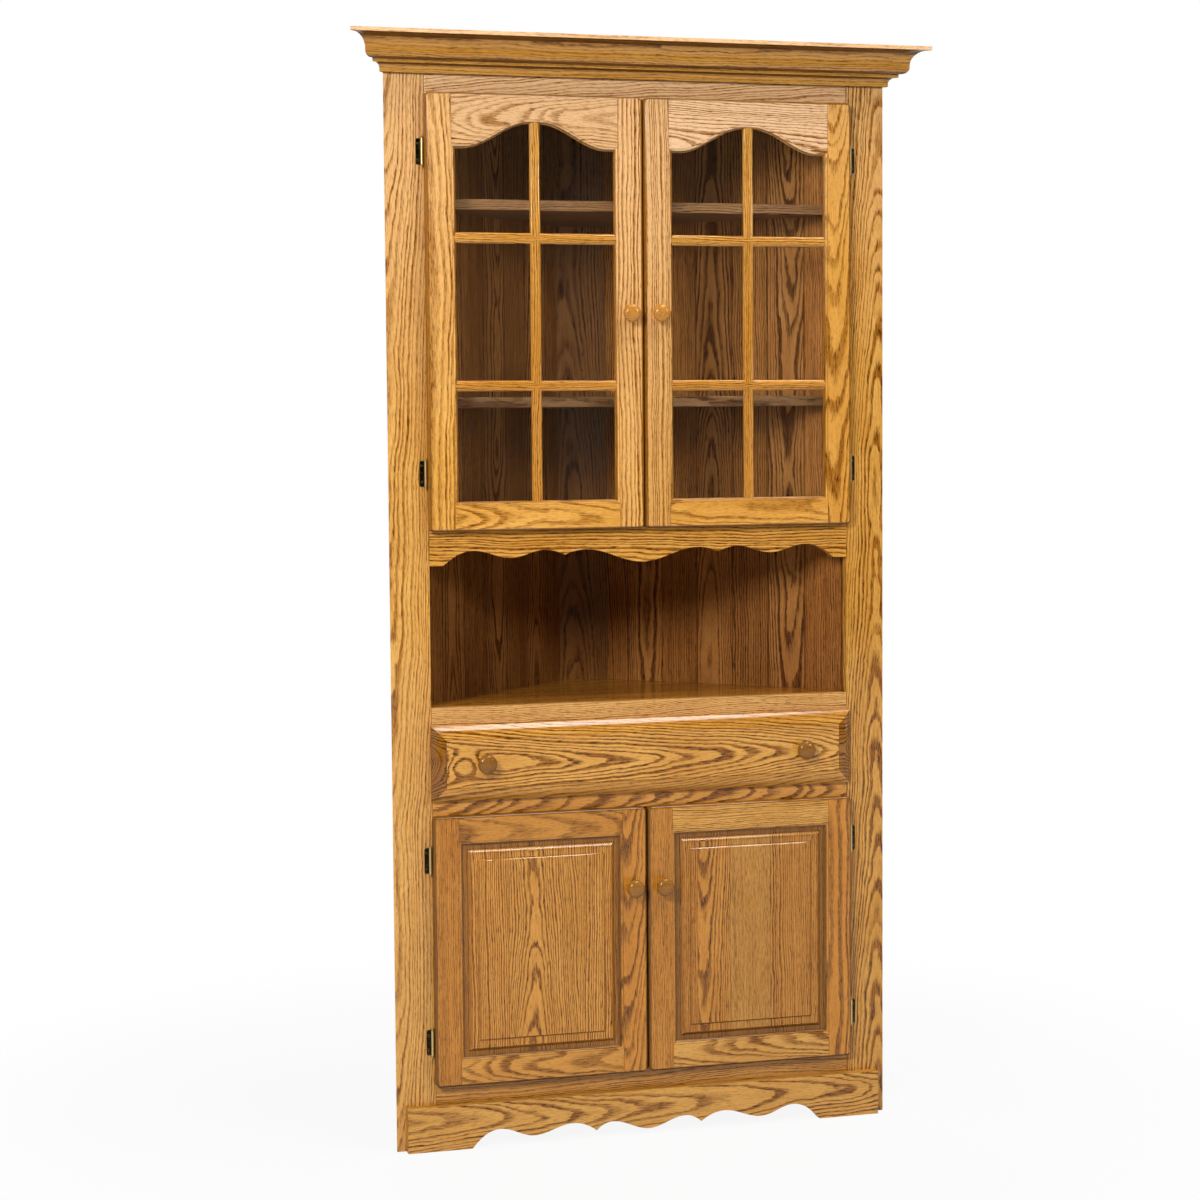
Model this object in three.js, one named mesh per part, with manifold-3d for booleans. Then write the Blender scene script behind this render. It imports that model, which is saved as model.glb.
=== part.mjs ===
// Corner cupboard in oak: glazed doors at the top, then an open niche with a counter,
// a drawer, and panelled doors at the bottom.
// Millimetres, +Z up, front towards -Y. The origin is the middle of the footprint's box, on the floor.
// Inside the cupboard group, y = 0 is the front of the face frame and the room's corner lies at +Y.

import * as THREE from "three";
import { mergeVertices } from "three/addons/utils/BufferGeometryUtils.js";
import Module from "manifold-3d";

const wasm = await Module();
wasm.setup();

// Width across the stiles, and of the narrow back in the room's corner
const FACE_WIDTH = 936;
const BACK_WIDTH = 108;

// Heights of the front from the floor up: what each door, drawer, gap and strip of rail takes
const LOWER_DOOR_LIFT = 115;
const LOWER_DOOR_HEIGHT = 489;
const MIDDLE_RAIL_SHOWING = 25.5;
const DRAWER_FRONT_HEIGHT = 135.5;
const COUNTER_RAIL_SHOWING = 32;
const NICHE_HEIGHT = 253;
const VALANCE_SHOWING = 61;
const UPPER_DOOR_HEIGHT = 770;
const TOP_RAIL_SHOWING = 32;

// Clearances between pieces
const FIT = 0.3;
const CUT_OVERRUN = 5;

// Face frame
const FRAME_THICKNESS = 19;
const STILE_WIDTH = 73;
const FRAME_BELOW_TOP = 6;
const BOTTOM_RAIL_FOOT = 42;

// Walls of vertical boards with V grooves, and the narrow back between them
const WALL_THICKNESS = 12;
const BACK_THICKNESS = 12;
const GROOVE_PITCH = 76;
const FIRST_GROOVE = 46;
const GROOVE_HALF_WIDTH = 1.8;
const GROOVE_DEPTH = 1.8;
const NARROWEST_BOARD_SHARE = 0.25;
const PIN_HOLE_RADIUS = 3;
const PIN_HOLE_DEPTH = 8;
const PIN_HOLE_SIDES = 8;
const PIN_HOLE_SPACING = 32;
const UPPER_PIN_HOLE_LIFT = 471.5;
const LOWER_PIN_HOLE_LIFT = 305.5;

// Boards inside the case
const BOARD_THICKNESS = 19;
const TOP_BOARD_DROP = 6;
const SHELF_SETBACK = 26;
const HIGH_SHELF_LIFT = 587.5;
const MIDDLE_SHELF_LIFT = 235.5;
const LOWER_SHELF_LIFT = 247.5;
const SHELF_WALL_GAP = 0.8;

// Doors and drawer front, all laid over the face frame
const OVERLAY = 2.5;
const DOOR_STANDOFF = 2;
const DOOR_THICKNESS = 18;
const DOOR_GAP = 3;
const DOOR_EDGE_RADIUS = 5;
const EDGE_ARC_STEPS = 3;
const FLAT_WIDTH = 46;
const STICKING_WIDTH = 7;
const STICKING_DEPTH = 6;
const REBATE_DEPTH = 9;
const REBATE_WIDTH = 8;
const ARCH_SHOULDER_DROP = 90;
const ARCH_RISE = 45;
const ARCH_CROWN_FLAT = 8;
const ARCH_SHOULDER_LENGTH = 13;
const ARCH_STEPS = 10;

// Glass and the glazing grid in front of it
const GLASS_THICKNESS = 3;
const GLASS_PLAY = 1;
const BAR_WIDTH = 19;
const BAR_FACE_WIDTH = 7;
const BAR_SETBACK = 1.5;
const BAR_EDGE_THICKNESS = 2.5;
const LOW_BAR_HEIGHT = 257;
const HIGH_BAR_HEIGHT = 517;

// Raised panels in the lower doors
const PANEL_GROOVE_DEPTH = 8;
const PANEL_GROOVE_WIDTH = 6;
const PANEL_GROOVE_SETBACK = 7;
const PANEL_FIELD_SETBACK = 1;
const PANEL_BEVEL_WIDTH = 29;
const PANEL_STEP = 1.4;
const PANEL_BEAD_WIDTH = 11;
const PANEL_BEAD_DROP = 2.8;
const PANEL_QUIRK = 0.9;

// Drawer
const DRAWER_STANDOFF = 1;
const DRAWER_FRONT_THICKNESS = 19;
const DRAWER_EDGE_THICKNESS = 7;
const DRAWER_BEVEL = 25;
const DRAWER_STEP = 1.4;
const DRAWER_BOX_WIDTH = 470;
const DRAWER_BOX_WALL_GAP = 34.7;
const DRAWER_BOX_HEIGHT = 92;
const DRAWER_SIDE_THICKNESS = 12;
const DRAWER_BASE_THICKNESS = 6;
const DRAWER_BASE_LIFT = 8;
const DRAWER_RUNNING_GAP = 0.6;
const GUIDE_WIDTH = 18;
const GUIDE_HEIGHT = 20;
const GUIDE_SIDE_GAP = 0.8;

// Turned wooden knobs
const DOOR_KNOB_RADIUS = 16.3;
const DRAWER_KNOB_RADIUS = 17.3;
const KNOB_LENGTH = 26;
const KNOB_SEGMENTS = 16;
const UPPER_KNOB_LIFT = 386;
const LOWER_KNOB_DROP = 146;
const KNOB_EDGE_INSET = 26.5;
const DRAWER_KNOB_INSET = 95.5;

// Hinges with a visible barrel beside the door's edge
const HINGE_HEIGHT = 54;
const HINGE_UPPER_INSET = 103;
const HINGE_LOWER_INSET = 80;
const BARREL_RADIUS = 2.8;
const BARREL_DOOR_GAP = 0.8;
const BARREL_STANDOFF = 6;
const BARREL_SIDES = 10;
const PIN_RADIUS = 1.1;
const PIN_BORE_RADIUS = 1.6;
const KNUCKLE_LENGTH = 16;
const KNUCKLE_GAP = 0.4;
const FINIAL_LENGTH = 4;
const FRAME_LEAF_WIDTH = 8.5;
const DOOR_LEAF_WIDTH = 26;
const LEAF_CORNER = 3;
const NECK_HALF_WIDTH = 1.2;

// Crown moulding: each ledge and curve of its section, from the face frame outwards
const CROWN_LIP_LEDGE = 7.7;
const CROWN_LIP_HEIGHT = 6;
const CROWN_SMALL_COVE = 9.5;
const CROWN_STEP_LEDGE = 5.3;
const CROWN_STEP_HEIGHT = 6;
const CROWN_BEAD_LEDGE = 4.5;
const CROWN_BEAD_RADIUS = 11;
const CROWN_COVE_FOOT = 4;
const CROWN_COVE_RADIUS = 24;
const CROWN_FILLET_LEDGE = 7;
const CROWN_FILLET_HEIGHT = 7.5;
const CROWN_ARC_STEPS = 5;

// Base skirt and valance, with a wavy lower edge
const SKIRT_HEIGHT = 81;
const SKIRT_THICKNESS = 19;
const SKIRT_INSET = 17.6;
const SKIRT_SCALLOP_DEPTH = 32;
const VALANCE_SCALLOP_DEPTH = 26;
const WAVE_STEPS = 4;

// Wavy edges, drawn from the middle outwards: share of the half length, share of the scallop's
// depth, and whether the edge comes to a point there
const SKIRT_WAVE_SHARES = [
  { along: 0, rise: 0.31 },
  { along: 0.155, rise: 0.88 },
  { along: 0.223, rise: 0.45, cusp: true },
  { along: 0.322, rise: 0.97 },
  { along: 0.482, rise: 0.46 },
  { along: 0.624, rise: 1 },
  { along: 0.739, rise: 0, cusp: true },
];
const VALANCE_WAVE_SHARES = [
  { along: 0, rise: 0 },
  { along: 0.268, rise: 0.94 },
  { along: 0.368, rise: 0.6, cusp: true },
  { along: 0.466, rise: 0.96 },
  { along: 0.623, rise: 0.45 },
  { along: 0.797, rise: 1 },
  { along: 0.937, rise: 0, cusp: true },
];

// Section of a knob: share of its radius, share of its length
const KNOB_SHARES = [
  [0.5, 0],
  [0.5, 0.08],
  [0.38, 0.22],
  [0.42, 0.36],
  [0.78, 0.46],
  [0.97, 0.56],
  [1, 0.66],
  [0.93, 0.8],
  [0.68, 0.93],
  [0.36, 1],
];

// Section of a hinge finial: share of the barrel's radius, share of its length
const FINIAL_SHARES = [
  [1, 0],
  [0.5, 0.25],
  [0.8, 0.6],
  [0.5, 1],
];

// Bevel of the drawer front: share of the bevel's width, share of its rise
const DRAWER_BEVEL_SHARES = [
  [0, 0],
  [0.12, 0.36],
  [0.3, 0.62],
  [0.52, 0.8],
  [0.96, 1],
];

// Bead around a raised panel: share of its width, share of its rise
const PANEL_BEAD_SHARES = [
  [0.2, 0],
  [0.32, 0.5],
  [0.55, 0.9],
  [0.8, 1],
  [1, 0.95],
];

// Places that several pieces follow
const DIAGONAL = Math.SQRT2;
const HALF_FACE = FACE_WIDTH / 2;
const HALF_OPENING = HALF_FACE - STILE_WIDTH;
const CASE_DEPTH = HALF_FACE - BACK_WIDTH / 2;
const LOWER_DOOR_TOP = LOWER_DOOR_LIFT + LOWER_DOOR_HEIGHT;
const DRAWER_BOTTOM = LOWER_DOOR_TOP + MIDDLE_RAIL_SHOWING;
const DRAWER_TOP = DRAWER_BOTTOM + DRAWER_FRONT_HEIGHT;
const COUNTER_HEIGHT = DRAWER_TOP + COUNTER_RAIL_SHOWING;
const VALANCE_FOOT = COUNTER_HEIGHT + NICHE_HEIGHT;
const UPPER_DOOR_BOTTOM = VALANCE_FOOT + VALANCE_SHOWING;
const UPPER_DOOR_TOP = UPPER_DOOR_BOTTOM + UPPER_DOOR_HEIGHT;
const CROWN_BEAD_LIFT = CROWN_LIP_HEIGHT + CROWN_SMALL_COVE + CROWN_STEP_HEIGHT;
const CROWN_COVE_LIFT = CROWN_BEAD_LIFT + CROWN_BEAD_RADIUS + CROWN_COVE_FOOT;
const CROWN_HEIGHT = CROWN_COVE_LIFT + CROWN_COVE_RADIUS + CROWN_FILLET_HEIGHT;
const CROWN_STEP_OUT = CROWN_LIP_LEDGE + CROWN_SMALL_COVE + CROWN_STEP_LEDGE;
const CROWN_COVE_OUT = CROWN_STEP_OUT + CROWN_BEAD_LEDGE + CROWN_BEAD_RADIUS;
const CROWN_PROJECTION = CROWN_COVE_OUT + CROWN_COVE_RADIUS + CROWN_FILLET_LEDGE;
const CROWN_BOTTOM = UPPER_DOOR_TOP + TOP_RAIL_SHOWING;
const TOTAL_HEIGHT = CROWN_BOTTOM + CROWN_HEIGHT;
const FRAME_TOP = TOTAL_HEIGHT - FRAME_BELOW_TOP;
const WALL_INNER_SUM = HALF_FACE - WALL_THICKNESS * DIAGONAL;
const BACK_INNER = CASE_DEPTH - BACK_THICKNESS;
const BEHIND_FRAME = FRAME_THICKNESS + FIT;
const HALF_DOORS = HALF_OPENING + OVERLAY;
const DOOR_BACK = -DOOR_STANDOFF;
const DOOR_FRONT = DOOR_BACK - DOOR_THICKNESS;
const REBATE_FRONT = DOOR_BACK - REBATE_DEPTH;
const DRAWER_FRONT_BACK = -DRAWER_STANDOFF;
const DRAWER_FRONT_FACE = DRAWER_FRONT_BACK - DRAWER_FRONT_THICKNESS;
const DISPLAY_FLOOR_TOP = UPPER_DOOR_BOTTOM + OVERLAY;
const DECK_TOP = DRAWER_BOTTOM + OVERLAY;
const CUPBOARD_FLOOR_TOP = LOWER_DOOR_LIFT + OVERLAY;
const HINGE_AXIS_X = HALF_DOORS + BARREL_DOOR_GAP + BARREL_RADIUS;
const UPPER_KNOB_HEIGHT = UPPER_DOOR_BOTTOM + UPPER_KNOB_LIFT;
const LOWER_KNOB_HEIGHT = LOWER_DOOR_TOP - LOWER_KNOB_DROP;

const oak = new THREE.MeshStandardMaterial({ color: 0xb87a38, roughness: 0.35, metalness: 0 });
const paleOak = new THREE.MeshStandardMaterial({ color: 0xc48a48, roughness: 0.5, metalness: 0 });
const darkOak = new THREE.MeshStandardMaterial({ color: 0x8a5626, roughness: 0.45, metalness: 0 });
const brass = new THREE.MeshStandardMaterial({ color: 0x6b5a33, roughness: 0.4, metalness: 0.9 });
const glass = new THREE.MeshStandardMaterial({ color: 0xe8f0ee, roughness: 0.05, metalness: 0 });

const cupboard = new THREE.Group();
cupboard.position.y = -(CASE_DEPTH - CROWN_PROJECTION) / 2;

// Adds one named piece.
function addPiece(name, geometry, material) {
  const mesh = new THREE.Mesh(geometry, material);
  mesh.name = name;
  cupboard.add(mesh);
}

// Turns a closed geometry into a solid that can be cut or joined.
function toSolid(geometry) {
  const plain = geometry.clone();
  plain.deleteAttribute("normal");
  plain.deleteAttribute("uv");
  const merged = mergeVertices(plain);
  const vertProperties = new Float32Array(merged.attributes.position.array);
  const corners = Array.from(merged.index.array);
  const triangles = [];
  for (let i = 0; i < corners.length; i += 3) {
    const [a, b, c] = corners.slice(i, i + 3);
    if (a !== b && b !== c && c !== a) triangles.push(a, b, c);
  }
  const triVerts = new Uint32Array(triangles);
  return new wasm.Manifold(new wasm.Mesh({ numProp: 3, vertProperties, triVerts }));
}

function fromSolid(solid) {
  const mesh = solid.getMesh();
  const geometry = new THREE.BufferGeometry();
  geometry.setAttribute("position", new THREE.BufferAttribute(new Float32Array(mesh.vertProperties), 3));
  geometry.setIndex(new THREE.BufferAttribute(new Uint32Array(mesh.triVerts), 1));
  return geometry;
}

function cut(geometry, ...cutters) {
  return fromSolid(cutters.reduce((solid, cutter) => solid.subtract(toSolid(cutter)), toSolid(geometry)));
}

function join(first, ...others) {
  return fromSolid(others.reduce((solid, other) => solid.add(toSolid(other)), toSolid(first)));
}

// A box between two corners.
function block([x0, x1], [y0, y1], [z0, z1]) {
  const geometry = new THREE.BoxGeometry(Math.abs(x1 - x0), Math.abs(y1 - y0), Math.abs(z1 - z0));
  geometry.translate((x0 + x1) / 2, (y0 + y1) / 2, (z0 + z1) / 2);
  return geometry;
}

// An outline in plan, raised from one height to another.
function raise(outline, [z0, z1]) {
  const shape = new THREE.Shape(outline.map(([x, y]) => new THREE.Vector2(x, y)));
  const geometry = new THREE.ExtrudeGeometry(shape, { depth: z1 - z0, bevelEnabled: false });
  geometry.translate(0, 0, z0);
  return geometry;
}

// An outline seen from the front, carried from one depth to another.
function deepen(outline, [y0, y1]) {
  const shape = new THREE.Shape(outline.map(([x, z]) => new THREE.Vector2(x, z)));
  const geometry = new THREE.ExtrudeGeometry(shape, { depth: y1 - y0, bevelEnabled: false });
  geometry.rotateX(Math.PI / 2);
  geometry.translate(0, y1, 0);
  return geometry;
}

// A closed skin over rings that hold equally many points. The function flatten gives the two
// coordinates of a point in an end's plane.
function loft(rings, flatten) {
  const count = rings[0].length;
  const positions = rings.flat(2);
  const index = [];
  for (let ring = 0; ring < rings.length - 1; ring += 1) {
    for (let i = 0; i < count; i += 1) {
      const a = ring * count + i;
      const b = ring * count + ((i + 1) % count);
      index.push(a, b, b + count, a, b + count, a + count);
    }
  }
  const contour = rings[0].map((point) => new THREE.Vector2(...flatten(point)));
  const clockwise = THREE.ShapeUtils.isClockWise(contour);
  const last = (rings.length - 1) * count;
  for (const triangle of THREE.ShapeUtils.triangulateShape(contour, [])) {
    const [a, b, c] = clockwise ? triangle.reverse() : triangle;
    index.push(a, c, b);
    index.push(last + a, last + b, last + c);
  }
  const geometry = new THREE.BufferGeometry();
  geometry.setAttribute("position", new THREE.BufferAttribute(new Float32Array(positions), 3));
  geometry.setIndex(signedVolume(positions, index) < 0 ? index.reverse() : index);
  return geometry;
}

function signedVolume(positions, index) {
  const corner = (i) => new THREE.Vector3().fromArray(positions, index[i] * 3);
  let volume = 0;
  for (let i = 0; i < index.length; i += 3) {
    volume += corner(i).dot(corner(i + 1).cross(corner(i + 2)));
  }
  return volume;
}

// Rings of a front outline at several depths, as a solid.
function loftBack(rings) {
  return loft(
    rings.map(({ outline, y }) => outline.map(([x, z]) => [x, y, z])),
    ([x, , z]) => [x, z],
  );
}

function rectangle([x0, x1], [z0, z1], inset) {
  return [
    [x0 + inset, z0 + inset],
    [x1 - inset, z0 + inset],
    [x1 - inset, z1 - inset],
    [x0 + inset, z1 - inset],
  ];
}

// A board with shaped front edges; each profile entry is an inset from the edge and a depth.
function shapedBoard(xs, zs, profile) {
  return loftBack(profile.map(([inset, y]) => ({ outline: rectangle(xs, zs, inset), y })));
}

// A quarter arc as [along, away] pairs: how far it has run, and how far it has turned away.
function quarterArc(radius, steps) {
  return Array.from({ length: steps + 1 }, (_, i) => {
    const angle = (i / steps) * (Math.PI / 2);
    return [radius * Math.sin(angle), radius * (1 - Math.cos(angle))];
  });
}

// Mirrors a pair of x values about the middle.
function sided(side, near, far) {
  return side > 0 ? [near, far] : [-far, -near];
}

// Lower edge of a wavy board from its middle to one end: smooth waves, with an arc into each cusp.
function waveEdge(waves, halfLength, depth, foot) {
  const points = [];
  for (let i = 0; i < waves.length - 1; i += 1) {
    const [from, to] = [waves[i], waves[i + 1]];
    for (let step = 0; step < WAVE_STEPS; step += 1) {
      const t = step / WAVE_STEPS;
      let share = (1 - Math.cos(Math.PI * t)) / 2;
      if (to.cusp) share = t * t;
      if (from.cusp) share = 1 - (1 - t) * (1 - t);
      points.push([
        (from.along + (to.along - from.along) * t) * halfLength,
        foot + (from.rise + (to.rise - from.rise) * share) * depth,
      ]);
    }
  }
  const end = waves[waves.length - 1];
  points.push([end.along * halfLength, foot + end.rise * depth]);
  return points;
}

function wavyBoard(waves, halfLength, depth, [foot, top], ys) {
  const right = waveEdge(waves, halfLength, depth, foot);
  const left = right.slice(1).reverse();
  return deepen(
    [
      [-halfLength, foot],
      ...left.map(([x, z]) => [-x, z]),
      ...right,
      [halfLength, foot],
      [halfLength, top],
      [-halfLength, top],
    ],
    ys,
  );
}

// Face frame: two full-height stiles, bevelled to the walls' angle, and five rails between them.
function makeFaceFrame() {
  for (const [name, side] of [["left_stile", -1], ["right_stile", 1]]) {
    const outline = [
      [side * HALF_OPENING, 0],
      [side * HALF_FACE, 0],
      [side * (HALF_FACE - FRAME_THICKNESS), FRAME_THICKNESS],
      [side * HALF_OPENING, FRAME_THICKNESS],
    ];
    addPiece(name, raise(outline, [0, FRAME_TOP]), oak);
  }
  const halfRail = HALF_OPENING - FIT;
  const rails = [
    ["top_rail", UPPER_DOOR_TOP - OVERLAY, FRAME_TOP],
    ["counter_rail", DRAWER_TOP - OVERLAY, COUNTER_HEIGHT],
    ["middle_rail", LOWER_DOOR_TOP - OVERLAY, DECK_TOP],
    ["bottom_rail", BOTTOM_RAIL_FOOT, CUPBOARD_FLOOR_TOP],
  ];
  for (const [name, low, high] of rails) {
    addPiece(name, block([-halfRail, halfRail], [0, FRAME_THICKNESS], [low, high]), oak);
  }
  const valanceHeights = [VALANCE_FOOT, DISPLAY_FLOOR_TOP];
  const valance = wavyBoard(
    VALANCE_WAVE_SHARES,
    halfRail,
    VALANCE_SCALLOP_DEPTH,
    valanceHeights,
    [0, FRAME_THICKNESS],
  );
  addPiece("valance_rail", valance, oak);
  const skirt = wavyBoard(
    SKIRT_WAVE_SHARES,
    HALF_FACE - SKIRT_INSET,
    SKIRT_SCALLOP_DEPTH,
    [0, SKIRT_HEIGHT],
    [-SKIRT_THICKNESS - FIT, -FIT],
  );
  addPiece("base_skirt", skirt, oak);
}

// Section of the crown moulding as [outwards, up] from its foot on the face frame.
function crownSection() {
  const smallCove = quarterArc(CROWN_SMALL_COVE, CROWN_ARC_STEPS).map(([along, away]) => [
    CROWN_LIP_LEDGE + away,
    CROWN_LIP_HEIGHT + along,
  ]);
  const bead = quarterArc(CROWN_BEAD_RADIUS, CROWN_ARC_STEPS).map(([along, away]) => [
    CROWN_COVE_OUT - CROWN_BEAD_RADIUS + along,
    CROWN_BEAD_LIFT + away,
  ]);
  const cove = quarterArc(CROWN_COVE_RADIUS, CROWN_ARC_STEPS).map(([along, away]) => [
    CROWN_COVE_OUT + away,
    CROWN_COVE_LIFT + along,
  ]);
  return [
    [FIT, 0],
    [CROWN_LIP_LEDGE, 0],
    ...smallCove,
    [CROWN_STEP_OUT, CROWN_BEAD_LIFT - CROWN_STEP_HEIGHT],
    [CROWN_STEP_OUT, CROWN_BEAD_LIFT],
    ...bead,
    ...cove,
    [CROWN_PROJECTION, CROWN_HEIGHT - CROWN_FILLET_HEIGHT],
    [CROWN_PROJECTION, CROWN_HEIGHT],
    [FIT, CROWN_HEIGHT],
  ];
}

// Crown moulding across the front, cut at both ends in the planes of the walls.
function makeCrown() {
  const section = crownSection();
  const ring = (side) => section.map(([out, up]) => [side * (HALF_FACE + out), -out, CROWN_BOTTOM + up]);
  addPiece("crown_moulding", loft([ring(-1), ring(1)], ([, y, z]) => [y, z]), oak);
}

// Walls at 45 degrees, whose faces are the planes where |x| + y stays the same, and the back.
function makeWalls() {
  const front = BEHIND_FRAME;
  const rear = BACK_INNER - FIT;
  const cornerX = WALL_INNER_SUM - BACK_INNER;
  const wallLength = (BACK_INNER - front) * DIAGONAL;
  const grooves = [];
  const lastGroove = wallLength - GROOVE_PITCH * NARROWEST_BOARD_SHARE;
  for (let along = FIRST_GROOVE; along < lastGroove; along += GROOVE_PITCH) {
    grooves.push([along - GROOVE_HALF_WIDTH, 0], [along, GROOVE_DEPTH], [along + GROOVE_HALF_WIDTH, 0]);
  }
  for (const [name, side] of [["left_wall", -1], ["right_wall", 1]]) {
    const outline = [
      [side * (WALL_INNER_SUM - rear), rear],
      ...grooves.map(([along, away]) => [
        side * (cornerX + (along + away) / DIAGONAL),
        BACK_INNER - (along - away) / DIAGONAL,
      ]),
      [side * (WALL_INNER_SUM - front), front],
      [side * (HALF_FACE - front), front],
      [side * (HALF_FACE - rear), rear],
    ];
    addPiece(name, raise(outline, [0, FRAME_TOP]), darkOak);
  }
  const back = raise(
    [
      [-(HALF_FACE - BACK_INNER), BACK_INNER],
      [HALF_FACE - BACK_INNER, BACK_INNER],
      [HALF_FACE - CASE_DEPTH, CASE_DEPTH],
      [-(HALF_FACE - CASE_DEPTH), CASE_DEPTH],
    ],
    [0, FRAME_TOP],
  );
  const holes = [];
  for (const lift of [UPPER_PIN_HOLE_LIFT, LOWER_PIN_HOLE_LIFT]) {
    const centre = DISPLAY_FLOOR_TOP + lift;
    for (const side of [-1, 1]) {
      const length = PIN_HOLE_DEPTH + CUT_OVERRUN;
      const hole = new THREE.CylinderGeometry(PIN_HOLE_RADIUS, PIN_HOLE_RADIUS, length, PIN_HOLE_SIDES);
      hole.translate(0, BACK_INNER + PIN_HOLE_DEPTH - length / 2, centre + (side * PIN_HOLE_SPACING) / 2);
      holes.push(hole);
    }
  }
  addPiece("back_panel", cut(back, ...holes), darkOak);
}

// Plan of a level board between the walls, from a given front edge to the back.
function levelPlan(front, wallGap) {
  const sum = WALL_INNER_SUM - wallGap * DIAGONAL;
  const rear = BACK_INNER - wallGap;
  return [
    [-(sum - front), front],
    [sum - front, front],
    [sum - rear, rear],
    [-(sum - rear), rear],
  ];
}

function makeLevelBoards() {
  const fixed = levelPlan(BEHIND_FRAME, FIT);
  const boards = [
    ["top_board", FRAME_TOP - TOP_BOARD_DROP],
    ["display_floor", DISPLAY_FLOOR_TOP],
    ["counter_top", COUNTER_HEIGHT],
    ["drawer_deck", DECK_TOP],
    ["cupboard_floor", CUPBOARD_FLOOR_TOP],
  ];
  for (const [name, top] of boards) {
    addPiece(name, raise(fixed, [top - BOARD_THICKNESS, top]), darkOak);
  }
  const loose = levelPlan(FRAME_THICKNESS + SHELF_SETBACK, SHELF_WALL_GAP);
  const shelves = [
    ["upper_shelf_high", DISPLAY_FLOOR_TOP + HIGH_SHELF_LIFT],
    ["upper_shelf_low", DISPLAY_FLOOR_TOP + MIDDLE_SHELF_LIFT],
    ["lower_shelf", CUPBOARD_FLOOR_TOP + LOWER_SHELF_LIFT],
  ];
  for (const [name, top] of shelves) {
    addPiece(name, raise(loose, [top - BOARD_THICKNESS, top]), darkOak);
  }
}

// Outline of a glazed opening, offset outwards; its head is a smooth arch between two level shoulders.
function archedOutline([x0, x1], [z0, shoulder], offset) {
  const middle = (x0 + x1) / 2;
  const points = [
    [x0 - offset, z0 - offset],
    [x1 + offset, z0 - offset],
    [x1 + offset, shoulder + offset],
  ];
  const run = (x1 - x0) / 2 - ARCH_SHOULDER_LENGTH - ARCH_CROWN_FLAT;
  for (const side of [1, -1]) {
    for (let step = 0; step <= ARCH_STEPS; step += 1) {
      const t = side > 0 ? step / ARCH_STEPS : 1 - step / ARCH_STEPS;
      const slope = (ARCH_RISE * Math.PI * Math.sin(Math.PI * t)) / (2 * run);
      const length = Math.hypot(slope, 1);
      const away = ARCH_CROWN_FLAT + run * (1 - t);
      const rise = (ARCH_RISE * (1 - Math.cos(Math.PI * t))) / 2;
      points.push([middle + side * (away + (offset * slope) / length), shoulder + rise + offset / length]);
    }
  }
  points.push([x0 - offset, shoulder + offset]);
  return points;
}

// Moulded edge around a window: offset from the sight line and depth, from behind the face to the front.
function windowRings(outlineAt, back, shrink) {
  const roundStart = DOOR_FRONT + STICKING_DEPTH;
  const arc = quarterArc(1, EDGE_ARC_STEPS).map(([along, away]) => [
    STICKING_WIDTH * away,
    roundStart - STICKING_DEPTH * along,
  ]);
  const depths = [[0, back], ...arc, [STICKING_WIDTH, DOOR_FRONT - CUT_OVERRUN]];
  return loftBack(depths.map(([offset, y]) => ({ outline: outlineAt(offset - shrink), y })));
}

// Outer slab of a door, rounded along its front edges.
function doorSlab(xs, zs) {
  const rounding = quarterArc(DOOR_EDGE_RADIUS, EDGE_ARC_STEPS).map(([along, away]) => [
    away,
    DOOR_FRONT + DOOR_EDGE_RADIUS - along,
  ]);
  return shapedBoard(xs, zs, [[0, DOOR_BACK], ...rounding]);
}

function sightOf([low, high]) {
  const border = FLAT_WIDTH + STICKING_WIDTH;
  return [low + border, high - border];
}

function makeGlazedDoor(name, side) {
  const xs = sided(side, DOOR_GAP / 2, HALF_DOORS);
  const zs = [UPPER_DOOR_BOTTOM, UPPER_DOOR_TOP];
  const sightX = sightOf(xs);
  const [sightFoot] = sightOf(zs);
  const sightShoulder = UPPER_DOOR_TOP - ARCH_SHOULDER_DROP - STICKING_WIDTH;
  const outlineAt = (offset) => archedOutline(sightX, [sightFoot, sightShoulder], offset);
  const rebateX = [sightX[0] - REBATE_WIDTH, sightX[1] + REBATE_WIDTH];
  const rebateZ = [sightFoot - REBATE_WIDTH, sightShoulder + ARCH_RISE + REBATE_WIDTH];
  const frame = cut(
    doorSlab(xs, zs),
    windowRings(outlineAt, DOOR_BACK + CUT_OVERRUN, 0),
    block(rebateX, [REBATE_FRONT, DOOR_BACK + CUT_OVERRUN], rebateZ),
  );
  addPiece(`${name}_frame`, frame, oak);

  const pane = block(
    [rebateX[0] + GLASS_PLAY, rebateX[1] - GLASS_PLAY],
    [REBATE_FRONT + FIT, REBATE_FRONT + FIT + GLASS_THICKNESS],
    [rebateZ[0] + GLASS_PLAY, rebateZ[1] - GLASS_PLAY],
  );
  addPiece(`${name}_glass`, pane, glass);

  const middle = (sightX[0] + sightX[1]) / 2;
  const bars = join(
    upright(middle, [sightFoot - STICKING_WIDTH, rebateZ[1]]),
    crossbar([sightX[0] - STICKING_WIDTH, sightX[1] + STICKING_WIDTH], UPPER_DOOR_BOTTOM + LOW_BAR_HEIGHT),
    crossbar([sightX[0] - STICKING_WIDTH, sightX[1] + STICKING_WIDTH], UPPER_DOOR_BOTTOM + HIGH_BAR_HEIGHT),
  );
  const opening = windowRings(outlineAt, REBATE_FRONT, FIT);
  addPiece(`${name}_grid`, fromSolid(toSolid(bars).intersect(toSolid(opening))), oak);
}

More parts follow.
